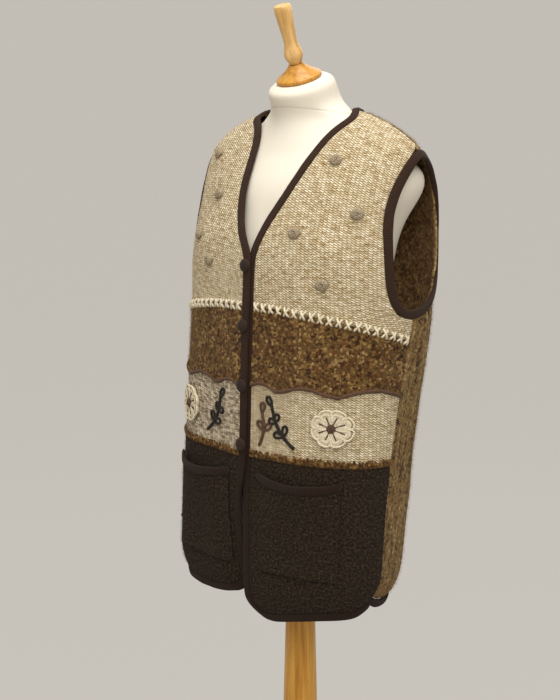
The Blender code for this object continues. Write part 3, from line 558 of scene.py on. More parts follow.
# %% [markdown]
# ## Bindings
# Every raw edge is bound with a dark brown strip, folded over the edge and stitched down, whose fine ribs
# run across it. The solids are swept strips of eight-sided rings. To draw the ribs, the material must know
# how far along the strip a point is. So the rings are walked one after another from an end, and that
# distance goes into a map. An armhole's strip has no end: there the turn round its middle does the job.

# %% Walk along a strip
STRIP = "strip"
STRIP_REACH = 0.03


def tip_of(shape):
    """A corner of one end of a strip: the last one that steps along its edges come to."""
    shape.verts.ensure_lookup_table()
    shape.verts.index_update()
    row = [shape.verts[0]]
    seen = set(row)
    while row:
        last = row[0]
        beyond = {e.other_vert(v) for v in row for e in v.link_edges} - seen
        row = sorted(beyond, key=lambda v: v.index)
        seen.update(row)
    return last


def first_ring(shape):
    """The corners of the flat face that closes one end of a strip."""
    tip = tip_of(shape)
    near = [v.co for v in shape.verts if (v.co - tip.co).length < STRIP_REACH]
    way = tip.co - sum(near, Vector()) / len(near)
    end = max(tip.link_faces, key=lambda face: face.normal.dot(way))
    cap, edge_faces = {end}, [end]
    while edge_faces:
        beside = {f for face in edge_faces for e in face.edges for f in e.link_faces} - cap
        edge_faces = [f for f in beside if f.normal.dot(end.normal) > 0.9995]
        cap.update(edge_faces)
    return sorted({v for face in cap for v in face.verts}, key=lambda v: v.index)


def walked(shape):
    """Distance along an open strip for each point, and the middle of the point's ring."""
    ring = first_ring(shape)
    distance = 0.0
    middle = sum((v.co for v in ring), Vector()) / len(ring)
    found = {}
    while ring:
        here = sum((v.co for v in ring), Vector()) / len(ring)
        distance += (here - middle).length
        middle = here
        found.update({v: (distance, middle) for v in ring})
        beyond = {e.other_vert(v) for v in ring for e in v.link_edges}
        ring = sorted((v for v in beyond if v not in found), key=lambda v: v.index)
    print("the walk went over", len(found), "of", len(shape.verts), "points")
    return found, None


def circled(shape):
    """The same for a closed strip, by the turn round its middle, and the strip's whole length."""
    middle = sum((v.co for v in shape.verts), Vector()) / len(shape.verts)
    turns = {v: math.atan2(v.co.z - middle.z, v.co.y - middle.y) % math.tau for v in shape.verts}
    steps = 90
    bins = [[] for _ in range(steps)]
    for v, turn in turns.items():
        bins[int(turn / math.tau * steps) % steps].append(math.hypot(v.co.z - middle.z, v.co.y - middle.y))
    known = [(i + 0.5, sum(b) / len(b)) for i, b in enumerate(bins) if b]
    places, reach = zip(*known)
    spread = np.interp(np.arange(steps) + 0.5, places, reach, period=steps)
    length = np.concatenate([[0.0], np.cumsum(spread) * math.tau / steps])
    found = {v: (float(np.interp(turn / math.tau * steps, range(steps + 1), length)), middle)
             for v, turn in turns.items()}
    return found, float(length[-1])


def strip_map(shape, found, loop_length):
    """Writes the distance along the strip, and the height over the cloth, to a map."""
    layer = shape.loops.layers.uv.new(STRIP)
    for face in shape.faces:
        along = [found[corner.vert][0] for corner in face.loops]
        for corner, distance in zip(face.loops, along):
            if loop_length and max(along) - distance > loop_length / 2:
                distance += loop_length
            middle = found[corner.vert][1]
            corner[layer].uv = (distance, (corner.vert.co - middle).dot(outward(middle)))


print("strips carry the map named", STRIP)

# %% [markdown]
# The strip's own colour is a dark chocolate. The ribs are a sine along the map, a little over 2 mm apart,
# with painted shade in their grooves and painted light on their crests, and the strip is darker towards the
# bottom of the vest. A slow noise makes the edge of the strip wander by a fraction of a millimetre, as a
# sewn edge does.

# %% Make the bindings
RIB_PITCH = 0.0022
SWELL = 0.0006
ARMHOLE_SWELL = 0.0012
EDGE_WANDER = 0.0004
EDGE_WAVE = 0.018


def ribbed(name):
    cloth = Finish(name, 0.9, sheen=0.03, shine=0.15)
    strip = cloth.flat(STRIP)
    body = cloth.place()
    along = cloth.add("ShaderNodeSeparateXYZ", {0: strip}).outputs[0]
    wander = cloth.times(cloth.noise(body, 120.0), 1.4)
    phase = cloth.plus(cloth.times(along, math.tau / RIB_PITCH), wander)
    rib = cloth.plus(0.5, cloth.times(cloth.sum("SINE", phase), 0.5))
    fibres = cloth.noise(body, 1800.0, 3.0, 0.7)
    # Painted light and shade: the rib crests are paler and the grooves darker.
    mixed = cloth.plus(cloth.times(rib, 0.45), cloth.times(fibres, 0.55))
    colour = cloth.ramp(mixed, [(0.2, 28, 17, 10), (0.55, 52, 35, 25), (0.9, 80, 57, 43)])
    # The strip is darker towards the bottom of the vest.
    height = cloth.add("ShaderNodeSeparateXYZ", {0: body}).outputs[2]
    deep = {"Value": height, "From Min": 0.86, "From Max": 1.04, "To Min": 0.62, "To Max": 1.0}
    colour = cloth.darkened(colour, cloth.add("ShaderNodeMapRange", deep).outputs[0])
    return cloth.done(colour, cloth.plus(rib, cloth.times(fibres, 0.4)), 0.0005)


brown_rib = ribbed("dark brown rib")
OPEN_STRIPS = (
    "edge_binding_left", "edge_binding_right", "neck_binding_back", "hem_binding_back",
    "pocket_trim_left", "pocket_trim_right",
)
CLOSED_STRIPS = ("armhole_binding_left", "armhole_binding_right")


def binding(node):
    shape = merged(node)
    found, loop_length = circled(shape) if node in CLOSED_STRIPS else walked(shape)
    joined_to_quads(shape)
    strip_map(shape, found, loop_length)
    piece = finished("sewn_" + node, shape, brown_rib, node)
    subdivided(piece, 2)
    swell = ARMHOLE_SWELL if node in CLOSED_STRIPS else SWELL
    raised(piece, lambda places: swell + EDGE_WANDER * ripple(places, EDGE_WAVE))
    print(piece.name, "is", round(max(place[0] for place in found.values()), 3), "m long")
    return piece


bindings = {node: binding(node) for node in OPEN_STRIPS + CLOSED_STRIPS}

# %% [markdown]
# ## Patch pockets
# The pockets are cut from the skirt's own fulled wool, so they are hardly seen but for the trim at their
# mouths. They get the same treatment as the panels, with a thinner wall.

# %% Make the pockets
POCKET_WALL = 0.0024
POCKETS = [
    Panel(f"patch_pocket_{side}", f"pocket_{side}", dark_wool, knit_relief, 3, "charcoal_brown_wool")
    for side in SIDES
]
pockets = {row.name: panel(row, POCKET_WALL) for row in POCKETS}

# %% [markdown]
# ## Lengths of yarn
# The hand work on the vest is yarn laid on the cloth: cross stitches, bobbles, cords and crochet. Each is
# a curve with a round bevel, and all the lengths of one kind become one mesh. They have to lie on the
# cloth, so the finished skins are kept in a search tree that gives the nearest point and its normal. A tree
# of the bindings comes first: the thick tweed of the back is sunk a little where it runs under them.

# %% Yarn laid on cloth
def tree_of(pieces):
    """A search tree over the outer skins of some pieces."""
    points, faces = [], []
    for piece in pieces:
        start = len(points)
        points.extend(vertex.co.copy() for vertex in piece.data.vertices)
        faces.extend([start + index for index in face.vertices] for face in piece.data.polygons)
    return BVHTree.FromPolygons(points, faces)


trim_tree = tree_of(bindings.values())
TUCK_REACH = 0.009
TUCK_DEPTH = 0.0028


def tuck(places):
    """Sinks the cloth where it runs under a binding."""
    found = [trim_tree.find_nearest(Vector(place), TUCK_REACH)[3] for place in places]
    away = np.array([TUCK_REACH if gap is None else gap for gap in found]) / TUCK_REACH
    return -TUCK_DEPTH * (1.0 - away * away)


raised(panels["tweed_back"], tuck)
cloth_tree = tree_of(panels.values())


def on_cloth(point, lift=0.0):
    """The nearest point of the cloth, lifted off it, and the cloth's normal there."""
    place, normal, _, _ = cloth_tree.find_nearest(point)
    return place + normal * lift, normal


def on_front(x, z, lift=0.0):
    """The point of the front that is straight behind a place in the front view."""
    place, normal, _, _ = cloth_tree.ray_cast(Vector((x, -1.0, z)), Vector((0.0, 1.0, 0.0)))
    return place + normal * lift


def yarns(name, runs, radius, material, sides=1):
    """Lengths of round yarn through rows of points, joined in one mesh."""
    line = bpy.data.curves.new(name, "CURVE")
    line.dimensions = "3D"
    line.bevel_depth = radius
    line.bevel_resolution = sides
    line.use_fill_caps = True
    for run in runs:
        spline = line.splines.new("POLY")
        spline.points.add(len(run) - 1)
        for point, place in zip(spline.points, run):
            point.co = (*place, 1.0)
    helper = bpy.data.objects.new(name + "_line", line)
    shape = bmesh.new()
    shape.from_mesh(helper.to_mesh())
    helper.to_mesh_clear()
    bpy.data.objects.remove(helper)
    bmesh.ops.remove_doubles(shape, verts=shape.verts, dist=MERGE)
    bmesh.ops.recalc_face_normals(shape, faces=shape.faces)
    return finished(name, shape, material)


def slotted(piece):
    return piece


def plied(name, shades, ply=0.0022):
    """Soft yarn of two shades, with the slanting marks of its plies."""
    strand = Finish(name, 0.92, sheen=0.05)
    body = strand.place()
    plies = strand.noise(body, 1.0 / ply, 2.0, 0.6)
    fibres = strand.noise(body, 2400.0, 3.0, 0.7)
    mixed = strand.plus(strand.times(plies, 0.65), strand.times(fibres, 0.35))
    colour = strand.ramp(mixed, shades)
    return strand.done(colour, strand.plus(plies, strand.times(fibres, 0.5)), 0.0006)


ecru_yarn = plied("ecru yarn", [(0.32, 176, 160, 128), (0.5, 222, 210, 182), (0.66, 240, 231, 208)])
grey_yarn = plied("grey beige yarn", [(0.32, 104, 90, 72), (0.5, 150, 135, 110), (0.68, 190, 174, 146)])
black_yarn = plied("black brown yarn", [(0.35, 20, 16, 13), (0.65, 52, 44, 37)])
brown_yarn = plied("felted brown yarn", [(0.35, 62, 42, 30), (0.65, 106, 80, 62)])
golden_yarn = plied("golden brown yarn", [
    (0.34, 38, 24, 12), (0.5, 92, 62, 28), (0.61, 146, 110, 56), (0.75, 198, 170, 118),
], 0.0050)
print("search tree over", len(panels), "panels; yarns ready")

# %% [markdown]
# ## Seams
# A seam is where two panels meet. Its line is found by asking which points of one solid's skin lie close
# to the other solid, and sorting them round the figure. The line is then cut into even steps.

# %% Find the seams
SEAM_REACH = 0.0012


def seam_between(node, other):
    """The points of one skin that lie along another solid, from the front edge to the side seam."""
    skin, wall = outer_skin(node), merged(other)
    tree = BVHTree.FromBMesh(wall)
    near = [v.co.copy() for v in skin.verts if tree.find_nearest(v.co)[3] < SEAM_REACH]
    skin.free()
    wall.free()
    return sorted(near, key=lambda point: abs(math.atan2(point.x, FIGURE_MIDDLE_Y - point.y)))


def stepped(line, step):
    """Places spread evenly along a line of points, with the way along it at each."""
    lengths = [0.0]
    for before, after in zip(line, line[1:]):
        lengths.append(lengths[-1] + (after - before).length)
    count = max(2, round(lengths[-1] / step))
    marks = np.linspace(0.0, lengths[-1], count + 1)
    table = np.array([tuple(point) for point in line])
    spread = [Vector(np.array([np.interp(mark, lengths, table[:, k]) for k in range(3)])) for mark in marks]
    return [(here, (after - before).normalized()) for before, here, after in
            zip([spread[0]] + spread[:-1], spread, spread[1:] + [spread[-1]])]


chest_seams = {side: seam_between(f"tweed_band_{side}", f"yoke_{side}") for side in SIDES}
lower_panel = {"left": "cream_panel_left", "right": "marled_panel_right"}
scallop_seams = {side: seam_between(lower_panel[side], f"tweed_band_{side}") for side in SIDES}
dark_seams = {side: seam_between(f"skirt_{side}", lower_panel[side]) for side in SIDES}
for side in SIDES:
    print(side, "seam points:", len(chest_seams[side]), len(scallop_seams[side]), len(dark_seams[side]))

# %% [markdown]
# ## The row of cross stitches
# Thick ecru yarn crosses the seam under the yoke, one cross every 14 mm. A cross is two short lengths
# of yarn, the second lying over the first. Their ends dive into the cloth and no two are quite alike.

# %% Sew the cross stitches
CROSS_STEP = 0.0138
CROSS_WIDTH = 0.0080
CROSS_HEIGHT = 0.0122
CROSS_YARN = 0.0018
UNDER_LIFT = 0.0010
OVER_LIFT = 0.0024
CROSS_MARKS = (-1.0, -0.7, -0.25, 0.25, 0.7, 1.0)


def seam_frame(place, along):
    """The cloth's point at a place on a seam, and the way up the cloth there."""
    base, normal = on_cloth(place)
    up = normal.cross(along).normalized()
    return base, up if up.z > 0 else -up


def cross_stitches(side, hand):
    runs = []
    for place, along in stepped(chest_seams[side], CROSS_STEP)[:-1]:
        base, up = seam_frame(place + along * CROSS_STEP / 2, along)
        for lean, lift in ((1, UNDER_LIFT), (-1, OVER_LIFT)):
            half = along * lean * CROSS_WIDTH / 2 * hand.uniform(0.9, 1.1)
            rise = up * CROSS_HEIGHT / 2 * hand.uniform(0.9, 1.1)
            run = []
            for share in CROSS_MARKS:
                arch = lift * (1 - share * share) + 0.0016 * (1 - abs(share) ** 4) - 0.0006
                run.append(on_cloth(base + half * share + rise * share, arch)[0])
            runs.append(run)
    return slotted(yarns(f"cross_stitches_{side}", runs, CROSS_YARN, ecru_yarn))


hand = random.Random(11)
crosses = {side: cross_stitches(side, hand) for side in SIDES}
print("cross stitches on the left:", len(stepped(chest_seams["left"], CROSS_STEP)) - 1)

# %% [markdown]
# ## Looped edgings and cords
# Where a pale panel meets the tweed or the dark skirt, the maker left a ragged row of golden brown loops.
# Each is a short arch of yarn with its feet on the seam, and its size, lean and place are random within
# narrow limits. A felted brown cord lies over the scalloped seam.

# %% Sew the loops and the cords
CORD_STEP = 0.004
CORD_LIFT = 0.0012
CORD_RADIUS = 0.0030
LOOP_TURNS = (0.0, 0.2, 0.4, 0.6, 0.8, 1.0)


def loops(name, line, hand, step, tall, drop, yarn_radius):
    """A ragged row of small arches along a seam; drop moves their feet below it."""
    runs = []
    for place, along in stepped(line, step):
        for _ in range(2):
            base, up = seam_frame(place + along * hand.uniform(-step, step) / 2, along)
            high, wide = tall * hand.uniform(0.45, 1.15), step * hand.uniform(0.25, 0.6)
            lean = along * hand.uniform(-0.3, 0.3) * tall
            out = hand.uniform(0.0008, 0.0024)
            run = []
            for turn in LOOP_TURNS:
                angle = math.pi * turn
                arch = (up * high + lean) * math.sin(angle) - along * math.cos(angle) * wide
                run.append(on_cloth(base + arch - up * drop, yarn_radius * 0.4 + out * math.sin(angle))[0])
            runs.append(run)
    return slotted(yarns(name, runs, yarn_radius, golden_yarn))


def cord_on_seam(name, line):
    """A felted cord that lies on the cloth along a seam, a little unevenly."""
    lifts = (CORD_LIFT + 0.0003 * math.sin(37.0 * i) for i in itertools.count())
    run = [on_cloth(place, lift)[0] for (place, _), lift in zip(stepped(line, CORD_STEP), lifts)]
    return slotted(yarns(name, [run], CORD_RADIUS, brown_yarn, sides=2))


edgings, cords = {}, {}
for side in SIDES:
    edgings[side] = [
        loops(f"dark_seam_loops_{side}", dark_seams[side], hand, 0.0034, 0.0112, 0.0046, 0.00115),
        loops(f"scallop_loops_{side}", scallop_seams[side], hand, 0.0044, 0.0066, 0.0010, 0.00095),
    ]
    cords[side] = cord_on_seam(f"scallop_cord_{side}", scallop_seams[side])
print("loops and cords on both fronts")

# %% [markdown]
# ## Bobbles and buttons
# A bobble is yarn wound into a small oval knot and stitched to the yoke: here a coil that climbs as it
# closes. A button is a dome covered with dark cloth. Each takes its place from its solid in the frame.

# %% Wind the bobbles and cover the buttons
def middle_of(node):
    low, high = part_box(node)
    return (low + high) / 2


def coil(centre, normal, wide, tall, rise, turns, twist):
    """An oval coil that climbs from its rim to its middle."""
    level = Vector((0.0, 0.0, 1.0)).cross(normal).normalized()
    upward = normal.cross(level)
    run = []
    steps = 14 * turns
    for i in range(steps + 1):
        share = i / steps
        angle = math.tau * turns * share + twist
        size = math.cos(share * math.pi / 2) ** 0.7
        across = level * math.cos(angle) * wide * size + upward * math.sin(angle) * tall * size
        run.append(centre + across + normal * rise * math.sin(share * math.pi / 2))
    return run


BOBBLE_WIDE = 0.0092
BOBBLE_TALL = 0.0074
BOBBLE_RISE = 0.0044
BOBBLE_YARN = 0.0017
BOBBLE_NODES = [node for node in sorted(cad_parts) if node.startswith("bobble")]
for node in BOBBLE_NODES:
    spot, normal = on_cloth(middle_of(node), 0.0010)
    twist = hand.uniform(-0.5, 0.5)
    run = coil(spot, normal, BOBBLE_WIDE, BOBBLE_TALL, BOBBLE_RISE, 4, twist)
    piece = yarns("wound_" + node, [run], BOBBLE_YARN, grey_yarn)
    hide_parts(node)


def covered(name):
    """Dark cloth drawn over a dome, with a faint weave."""
    cloth = Finish(name, 0.75, sheen=0.03, shine=0.25)
    body = cloth.place()
    weave = cloth.noise(body, 900.0, 2.0, 0.6)
    colour = cloth.ramp(weave, [(0.3, 22, 14, 9), (0.7, 56, 39, 28)])
    return cloth.done(colour, weave, 0.0004)


button_cloth = covered("button cloth")
for node in ("button_1", "button_2", "button_3", "button_4"):
    shape = merged(node)
    joined_to_quads(shape)
    piece = finished("covered_" + node, shape, button_cloth, node)
    subdivided(piece, 2)

# %% [markdown]
# ## Crochet rosettes and leaf sprigs
# Two round crocheted rosettes lie on the lower panels, with couched cords beside them in a plain leaf
# pattern. A rosette is a thin disc with a ring of petal loops and a dark middle. A leaf is a pointed oval
# of cord, and a sprig is a bent stem with leaves on both sides. All of it is drawn in the front view and
# dropped onto the cloth.

# %% Crochet the rosettes
PETALS = 8


Outline = namedtuple("Outline", "inner outer half_width lift crown power steps")
OUTER_PETAL = Outline(0.006, 0.0275, 0.0088, 0.0042, 0.0008, 0.75, 14)
INNER_PETAL = Outline(0.008, 0.0215, 0.0046, 0.0046, 0.0008, 0.75, 14)
PETAL_YARN = 0.0016
INNER_YARN = 0.0011
MIDDLE_YARN = 0.0014
MIDDLE_RADIUS = 0.0058
MIDDLE_RISE = 0.0028
VEIN_LIFT = 0.0050
VEIN_MARKS = (0.005, 0.010, 0.015, 0.018)


def outlined(x, z, turn, shape):
    """A loop of cord, from its foot near (x, z) out along its turn and back."""
    ahead, aside = math.cos(turn), math.sin(turn)
    run = []
    for i in range(shape.steps + 1):
        share = i / shape.steps
        bow = math.sin(math.pi * share)
        reach = shape.inner + (shape.outer - shape.inner) * bow ** shape.power
        side = shape.half_width * math.sin(math.tau * share)
        lift = shape.lift + shape.crown * bow
        run.append(on_front(x + reach * ahead - side * aside, z + reach * aside + side * ahead, lift))
    return run


def rosette(side):
    node = f"rosette_{side}"
    centre = middle_of(node)
    outer, inner, veins = [], [], []
    for k in range(PETALS):
        turn = math.tau * (k + 0.5) / PETALS
        outer.append(outlined(centre.x, centre.z, turn, OUTER_PETAL))
        inner.append(outlined(centre.x, centre.z, turn, INNER_PETAL))
        veins.append([on_front(centre.x + r * math.cos(turn), centre.z + r * math.sin(turn), VEIN_LIFT)
                      for r in VEIN_MARKS])
    disc_shape = merged(node)
    joined_to_quads(disc_shape)
    disc = finished(f"crochet_disc_{side}", disc_shape, ecru_yarn, node)
    subdivided(disc, 2)
    spot = on_front(centre.x, centre.z, VEIN_LIFT)
    heart = coil(spot, on_cloth(spot)[1], MIDDLE_RADIUS, MIDDLE_RADIUS, MIDDLE_RISE, 3, 0.0)
    made = [
        disc,
        yarns(f"crochet_petals_{side}", outer, PETAL_YARN, ecru_yarn),
        yarns(f"crochet_inner_{side}", inner, INNER_YARN, ecru_yarn),
        yarns(f"crochet_veins_{side}", veins, INNER_YARN, brown_yarn),
        yarns(f"crochet_middle_{side}", [heart], MIDDLE_YARN, brown_yarn),
    ]
    return made


rosettes = {side: rosette(side) for side in SIDES}
print("rosettes with", PETALS, "petals each")

# %% Couch the leaf sprigs
SPRIG_LIFT = 0.0014
LEAF_TURN = 0.85
STEM_YARN = 0.0025
LEAF_YARN = 0.0021


def leaf(x, z, turn, length, half_width):
    return outlined(x, z, turn, Outline(0.0, length, half_width, SPRIG_LIFT, 0.0, 1.2, 16))


def sprig(name, foot, top, bend, pairs, material):
    """A bent stem with pairs of leaves and one at its top."""
    stem, leaves = [], []
    steps = 4 * (pairs + 1)
    rise = math.atan2(top[1] - foot[1], top[0] - foot[0])
    for i in range(steps + 1):
        share = i / steps
        sway = bend * math.sin(math.pi * share)
        x = foot[0] + (top[0] - foot[0]) * share - sway * math.sin(rise)
        z = foot[1] + (top[1] - foot[1]) * share + sway * math.cos(rise)
        stem.append(on_front(x, z, SPRIG_LIFT))
        if i % 4 == 0 and 0 < i < steps:
            size = 0.0205 - 0.0040 * i / 4
            for side in (1, -1):
                leaves.append(leaf(x, z, rise + side * LEAF_TURN, size, 0.0042))
    leaves.append(leaf(stem[-1].x, stem[-1].z, rise, 0.015, 0.0040))
    cord = slotted(yarns(name + "_stem", [stem], STEM_YARN, material))
    return [cord, slotted(yarns(name + "_leaves", leaves, LEAF_YARN, material))]


sprigs = {
    "left": sprig("black_sprig_left", (0.094, 0.908), (0.052, 0.968), 0.008, 2, black_yarn)
    + sprig("brown_sprig_left", (0.030, 0.905), (0.034, 0.955), -0.006, 1, brown_yarn),
    "right": sprig("black_sprig_right", (-0.085, 0.912), (-0.052, 0.968), -0.008, 2, black_yarn),
}
print("sprigs of cord:", [piece.name for side in sprigs.values() for piece in side])

# %% [markdown]
# ## The dress form and its turned wood
# The form is a smooth body covered with off-white jersey, with one faint seam where the neck begins. Its
# solid has a sharp bend there, so the points at the foot of the neck are eased first. The wooden parts are
# turned on a lathe, so the way to model them is a profile spun round its axis. The profile is read from
# the frame: every ring of a turned solid is one distance along the axis and one radius. Beech has short
# dark flecks and long pale streaks, under a clear varnish.

# %% Cover the form
NECK_SEAM_HEIGHT = 1.397
NECK_SEAM_LEAN = 0.16
SEAM_WIDTH = 0.0012
NECK_FOOT_LOW = 1.335
NECK_FOOT_HIGH = 1.405
NECK_EASING = 10


def jersey(name):
    cloth = Finish(name, 0.88, sheen=0.03, shine=0.2)
    body = cloth.place()
    parts = cloth.add("ShaderNodeSeparateXYZ", {0: body}).outputs
    level = cloth.plus(parts[2], cloth.times(parts[1], NECK_SEAM_LEAN))
    away = cloth.sum("DIVIDE", cloth.less(level, NECK_SEAM_HEIGHT), SEAM_WIDTH)
    groove = cloth.sum("EXPONENT", cloth.times(cloth.times(away, away), -1.0))
    weave = cloth.noise(cloth.scaled(body, (0.0011, 0.0011, 0.0007)), 1.0, 2.0, 0.6)
    slow = cloth.noise(body, 9.0, 2.0)
    colour = cloth.ramp(slow, [(0.35, 224, 215, 198), (0.65, 232, 224, 208)])
    colour = cloth.darkened(colour, cloth.less(1.0, cloth.times(groove, 0.12)))
    height = cloth.less(cloth.times(weave, 0.5), groove)
    return cloth.done(colour, height, 0.0004)


form_shape = merged("form_torso")
joined_to_quads(form_shape)
neck_foot = [v for v in form_shape.verts if NECK_FOOT_LOW < v.co.z < NECK_FOOT_HIGH]
for _ in range(NECK_EASING):
    bmesh.ops.smooth_vert(
        form_shape, verts=neck_foot, factor=0.5, use_axis_x=True, use_axis_y=True, use_axis_z=True,
    )
form = finished("covered_form", form_shape, jersey("off white jersey"), "form_torso")
subdivided(form, 2)
print("form:", len(form.data.polygons), "faces")

# %% Turn the wooden parts
NECK_TILT = math.radians(20.0)
TURN_STEPS = 48
BEVEL = 0.0008
BEVEL_ANGLE = math.radians(28)
SHARP_ANGLE = math.radians(50)
BEECH_SHADES = ((0.3, 176, 112, 30), (0.48, 204, 143, 48), (0.62, 218, 161, 64), (0.75, 228, 178, 86))
# Paler shades for the finial: painted light on the same beech, where it catches the light.
PAINTED_LIT_SHADES = ((0.3, 186, 140, 76), (0.48, 216, 172, 106), (0.62, 228, 188, 126), (0.75, 236, 202, 146))


def beech(name, tilt, tone, shades=BEECH_SHADES):
    wood = Finish(name, 0.42, shine=0.35)
    wood.shader.inputs["Coat Weight"].default_value = 0.18
    wood.shader.inputs["Coat Roughness"].default_value = 0.18
    body = wood.place()
    straight = wood.add("ShaderNodeMapping", {"Vector": body, "Rotation": (-tilt, 0.0, 0.0)}).outputs[0]
    streaks = wood.noise(wood.scaled(straight, (0.007, 0.007, 0.16)), 1.0, 4.0, 0.6)
    flecks = wood.noise(wood.scaled(straight, (0.0012, 0.0012, 0.010)), 1.0, 2.0, 0.5)
    colour = wood.ramp(streaks, shades)
    pore = wood.add("ShaderNodeMapRange", {"Value": flecks, "From Min": 0.62, "From Max": 0.72}).outputs[0]
    colour = wood.darkened(colour, wood.less(tone, wood.times(pore, 0.22)))
    return wood.done(colour, streaks, 0.0002)


def spun(profile, steps):
    """A profile of (radius, height) pairs spun about the upright axis."""
    shape = bmesh.new()
    corners = [shape.verts.new((radius, 0.0, height)) for radius, height in profile]
    edges = [shape.edges.new(pair) for pair in zip(corners, corners[1:])]
    bmesh.ops.spin(shape, geom=corners + edges, cent=(0, 0, 0), axis=(0, 0, 1), angle=math.tau, steps=steps,
                   use_merge=True)
    bmesh.ops.remove_doubles(shape, verts=shape.verts, dist=MERGE)
    bmesh.ops.recalc_face_normals(shape, faces=shape.faces)
    return shape


def turned(name, node, tilt, material):
    """Spins the solid's own profile about its axis, which leans forward by the tilt."""
    shape = merged(node)
    middle = sum((v.co for v in shape.verts), Vector()) / len(shape.verts)
    upright = Matrix.Rotation(-tilt, 3, "X")
    rings = {}
    for vertex in shape.verts:
        place = upright @ (vertex.co - middle)
        rings.setdefault(round(place.z, 4), []).append(math.hypot(place.x, place.y))
    shape.free()
    heights = sorted(rings)
    profile = [(0.0, heights[0])] + [(max(rings[h]), h) for h in heights] + [(0.0, heights[-1])]
    lathed = spun(profile, TURN_STEPS)
    home = Matrix.Translation(middle) @ Matrix.Rotation(tilt, 4, "X")
    bmesh.ops.transform(lathed, matrix=home, verts=lathed.verts)
    piece = finished(name, lathed, material, node)
    softened = piece.modifiers.new("Softened edges", "BEVEL")
    softened.width = BEVEL
    softened.segments = 2
    softened.limit_method = "ANGLE"
    softened.angle_limit = BEVEL_ANGLE
    piece.data.set_sharp_from_angle(angle=SHARP_ANGLE)
    print(name, "has", len(heights), "rings")
    return piece


# One beech in three copies: the finial paler as painted light, the cap a little darker than the upright
# wood.
upright_beech = beech("upright beech", 0.0, 0.92)
turned("turned_cap", "neck_cap", NECK_TILT, beech("cap beech", NECK_TILT, 0.86))
turned("turned_finial", "finial", NECK_TILT, beech("finial beech", NECK_TILT, 1.0, PAINTED_LIT_SHADES))
turned("turned_pole", "pole", 0.0, upright_beech)
turned("turned_base", "base", 0.0, upright_beech)

# %% [markdown]
# ## Fuzz
# Wool is hairy, and the hairs are what tell it from painted plaster, most of all along an outline. Each
# hair is a narrow strip of two faces that leans and bends. They are scattered over a skin by area, so that
# the density is even, and all the hairs of one cloth are one mesh. Beside a binding there are none, because
# the cloth is pressed flat there.

# %% Scatter the hairs
HAIR_WIDTH = 0.00012
TRIM_CLEAR = 0.008


def hairy(name, tint):
    hair = Finish(name, 0.9, sheen=0.05)
    body = hair.place()
    return hair.done(hair.ramp(hair.noise(body, 260.0), tint), hair.noise(body, 900.0), 0.0001)


def fuzz(name, cloth, kind, seed):
    """Hairs scattered over one cloth, so many on a square metre, and none beside a trim."""
    mesh = cloth.data
    mesh.calc_loop_triangles()
    points = np.array([vertex.co for vertex in mesh.vertices])
    corners = points[np.array([triangle.vertices for triangle in mesh.loop_triangles])]
    normals = np.array([triangle.normal for triangle in mesh.loop_triangles])
    areas = np.array([triangle.area for triangle in mesh.loop_triangles])
    draw = np.random.default_rng(seed)
    count = int(kind.per_area * areas.sum())
    chosen = draw.choice(len(areas), count, p=areas / areas.sum())
    first, second = draw.random(count), draw.random(count)
    swap = first + second > 1
    first[swap], second[swap] = 1 - first[swap], 1 - second[swap]
    a, b, c = corners[chosen, 0], corners[chosen, 1], corners[chosen, 2]
    root = a + (b - a) * first[:, None] + (c - a) * second[:, None]
    bare = np.array([trim_tree.find_nearest(Vector(place), TRIM_CLEAR)[0] is None for place in root])
    root, chosen, count = root[bare], chosen[bare], int(bare.sum())
    out = normals[chosen]
    way = out * kind.lift + draw.normal(size=(count, 3))
    way = way / np.linalg.norm(way, axis=1, keepdims=True)
    bend = draw.normal(size=(count, 3)) * 0.35 - np.array([0, 0, 0.25])
    long = (kind.length * draw.uniform(0.4, 1.3, count))[:, None]
    side = np.cross(way, draw.normal(size=(count, 3)))
    side = side / np.linalg.norm(side, axis=1, keepdims=True) * HAIR_WIDTH / 2
    knee = root + way * long * 0.55 + out * 0.0003
    tip = knee + (way + bend) * long * 0.45
    strands = np.stack([root - side, root + side, knee + side, knee - side, tip], axis=1).reshape(-1, 3)
    starts = np.arange(count) * 5
    faces = [(s, s + 1, s + 2, s + 3) for s in starts] + [(s + 3, s + 2, s + 4) for s in starts]
    hairs = bpy.data.meshes.new(name)
    hairs.from_pydata(strands.tolist(), [], [tuple(int(i) for i in face) for face in faces])
    hairs.materials.append(kind.material)
    piece = bpy.data.objects.new(name, hairs)
    bpy.context.scene.collection.objects.link(piece)
    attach(piece, "root")
    print(name, count, "hairs")
    return piece


cream_hair = hairy("cream hair", [(0.3, 176, 156, 122), (0.7, 228, 214, 186)])
tweed_hair = hairy("tweed hair", [(0.3, 78, 50, 24), (0.7, 166, 132, 82)])
dark_hair = hairy("dark hair", [(0.35, 38, 30, 24), (0.75, 112, 98, 80)])
Hairs = namedtuple("Hairs", "per_area length lift material")
CREAM_HAIRS = Hairs(120000, 0.0036, 1.1, cream_hair)
HAIRS = {
    cream_yarn: CREAM_HAIRS,
    oatmeal_yarn: CREAM_HAIRS,
    marled_yarn: CREAM_HAIRS,
    band_tweed: Hairs(400000, 0.0044, 1.2, tweed_hair),
    dark_wool: Hairs(200000, 0.0042, 1.2, dark_hair),
    side_tweed: Hairs(160000, 0.0050, 1.3, tweed_hair),
}
cloths = {**panels, **pockets}
for seed, row in enumerate((*PANELS[:-1], *POCKETS, PANELS[-1])):
    made = fuzz("hairs_" + row.name, cloths[row.name], HAIRS[row.material], seed)

# %% [markdown]
# ## The cut sizes
# Every sheet of cloth keeps the flat size that it was cut to, and the number of them is printed. The vest
# hangs from the form's shoulders, so its panels are draped over the form.


print("sheets declared:", len(cuts))

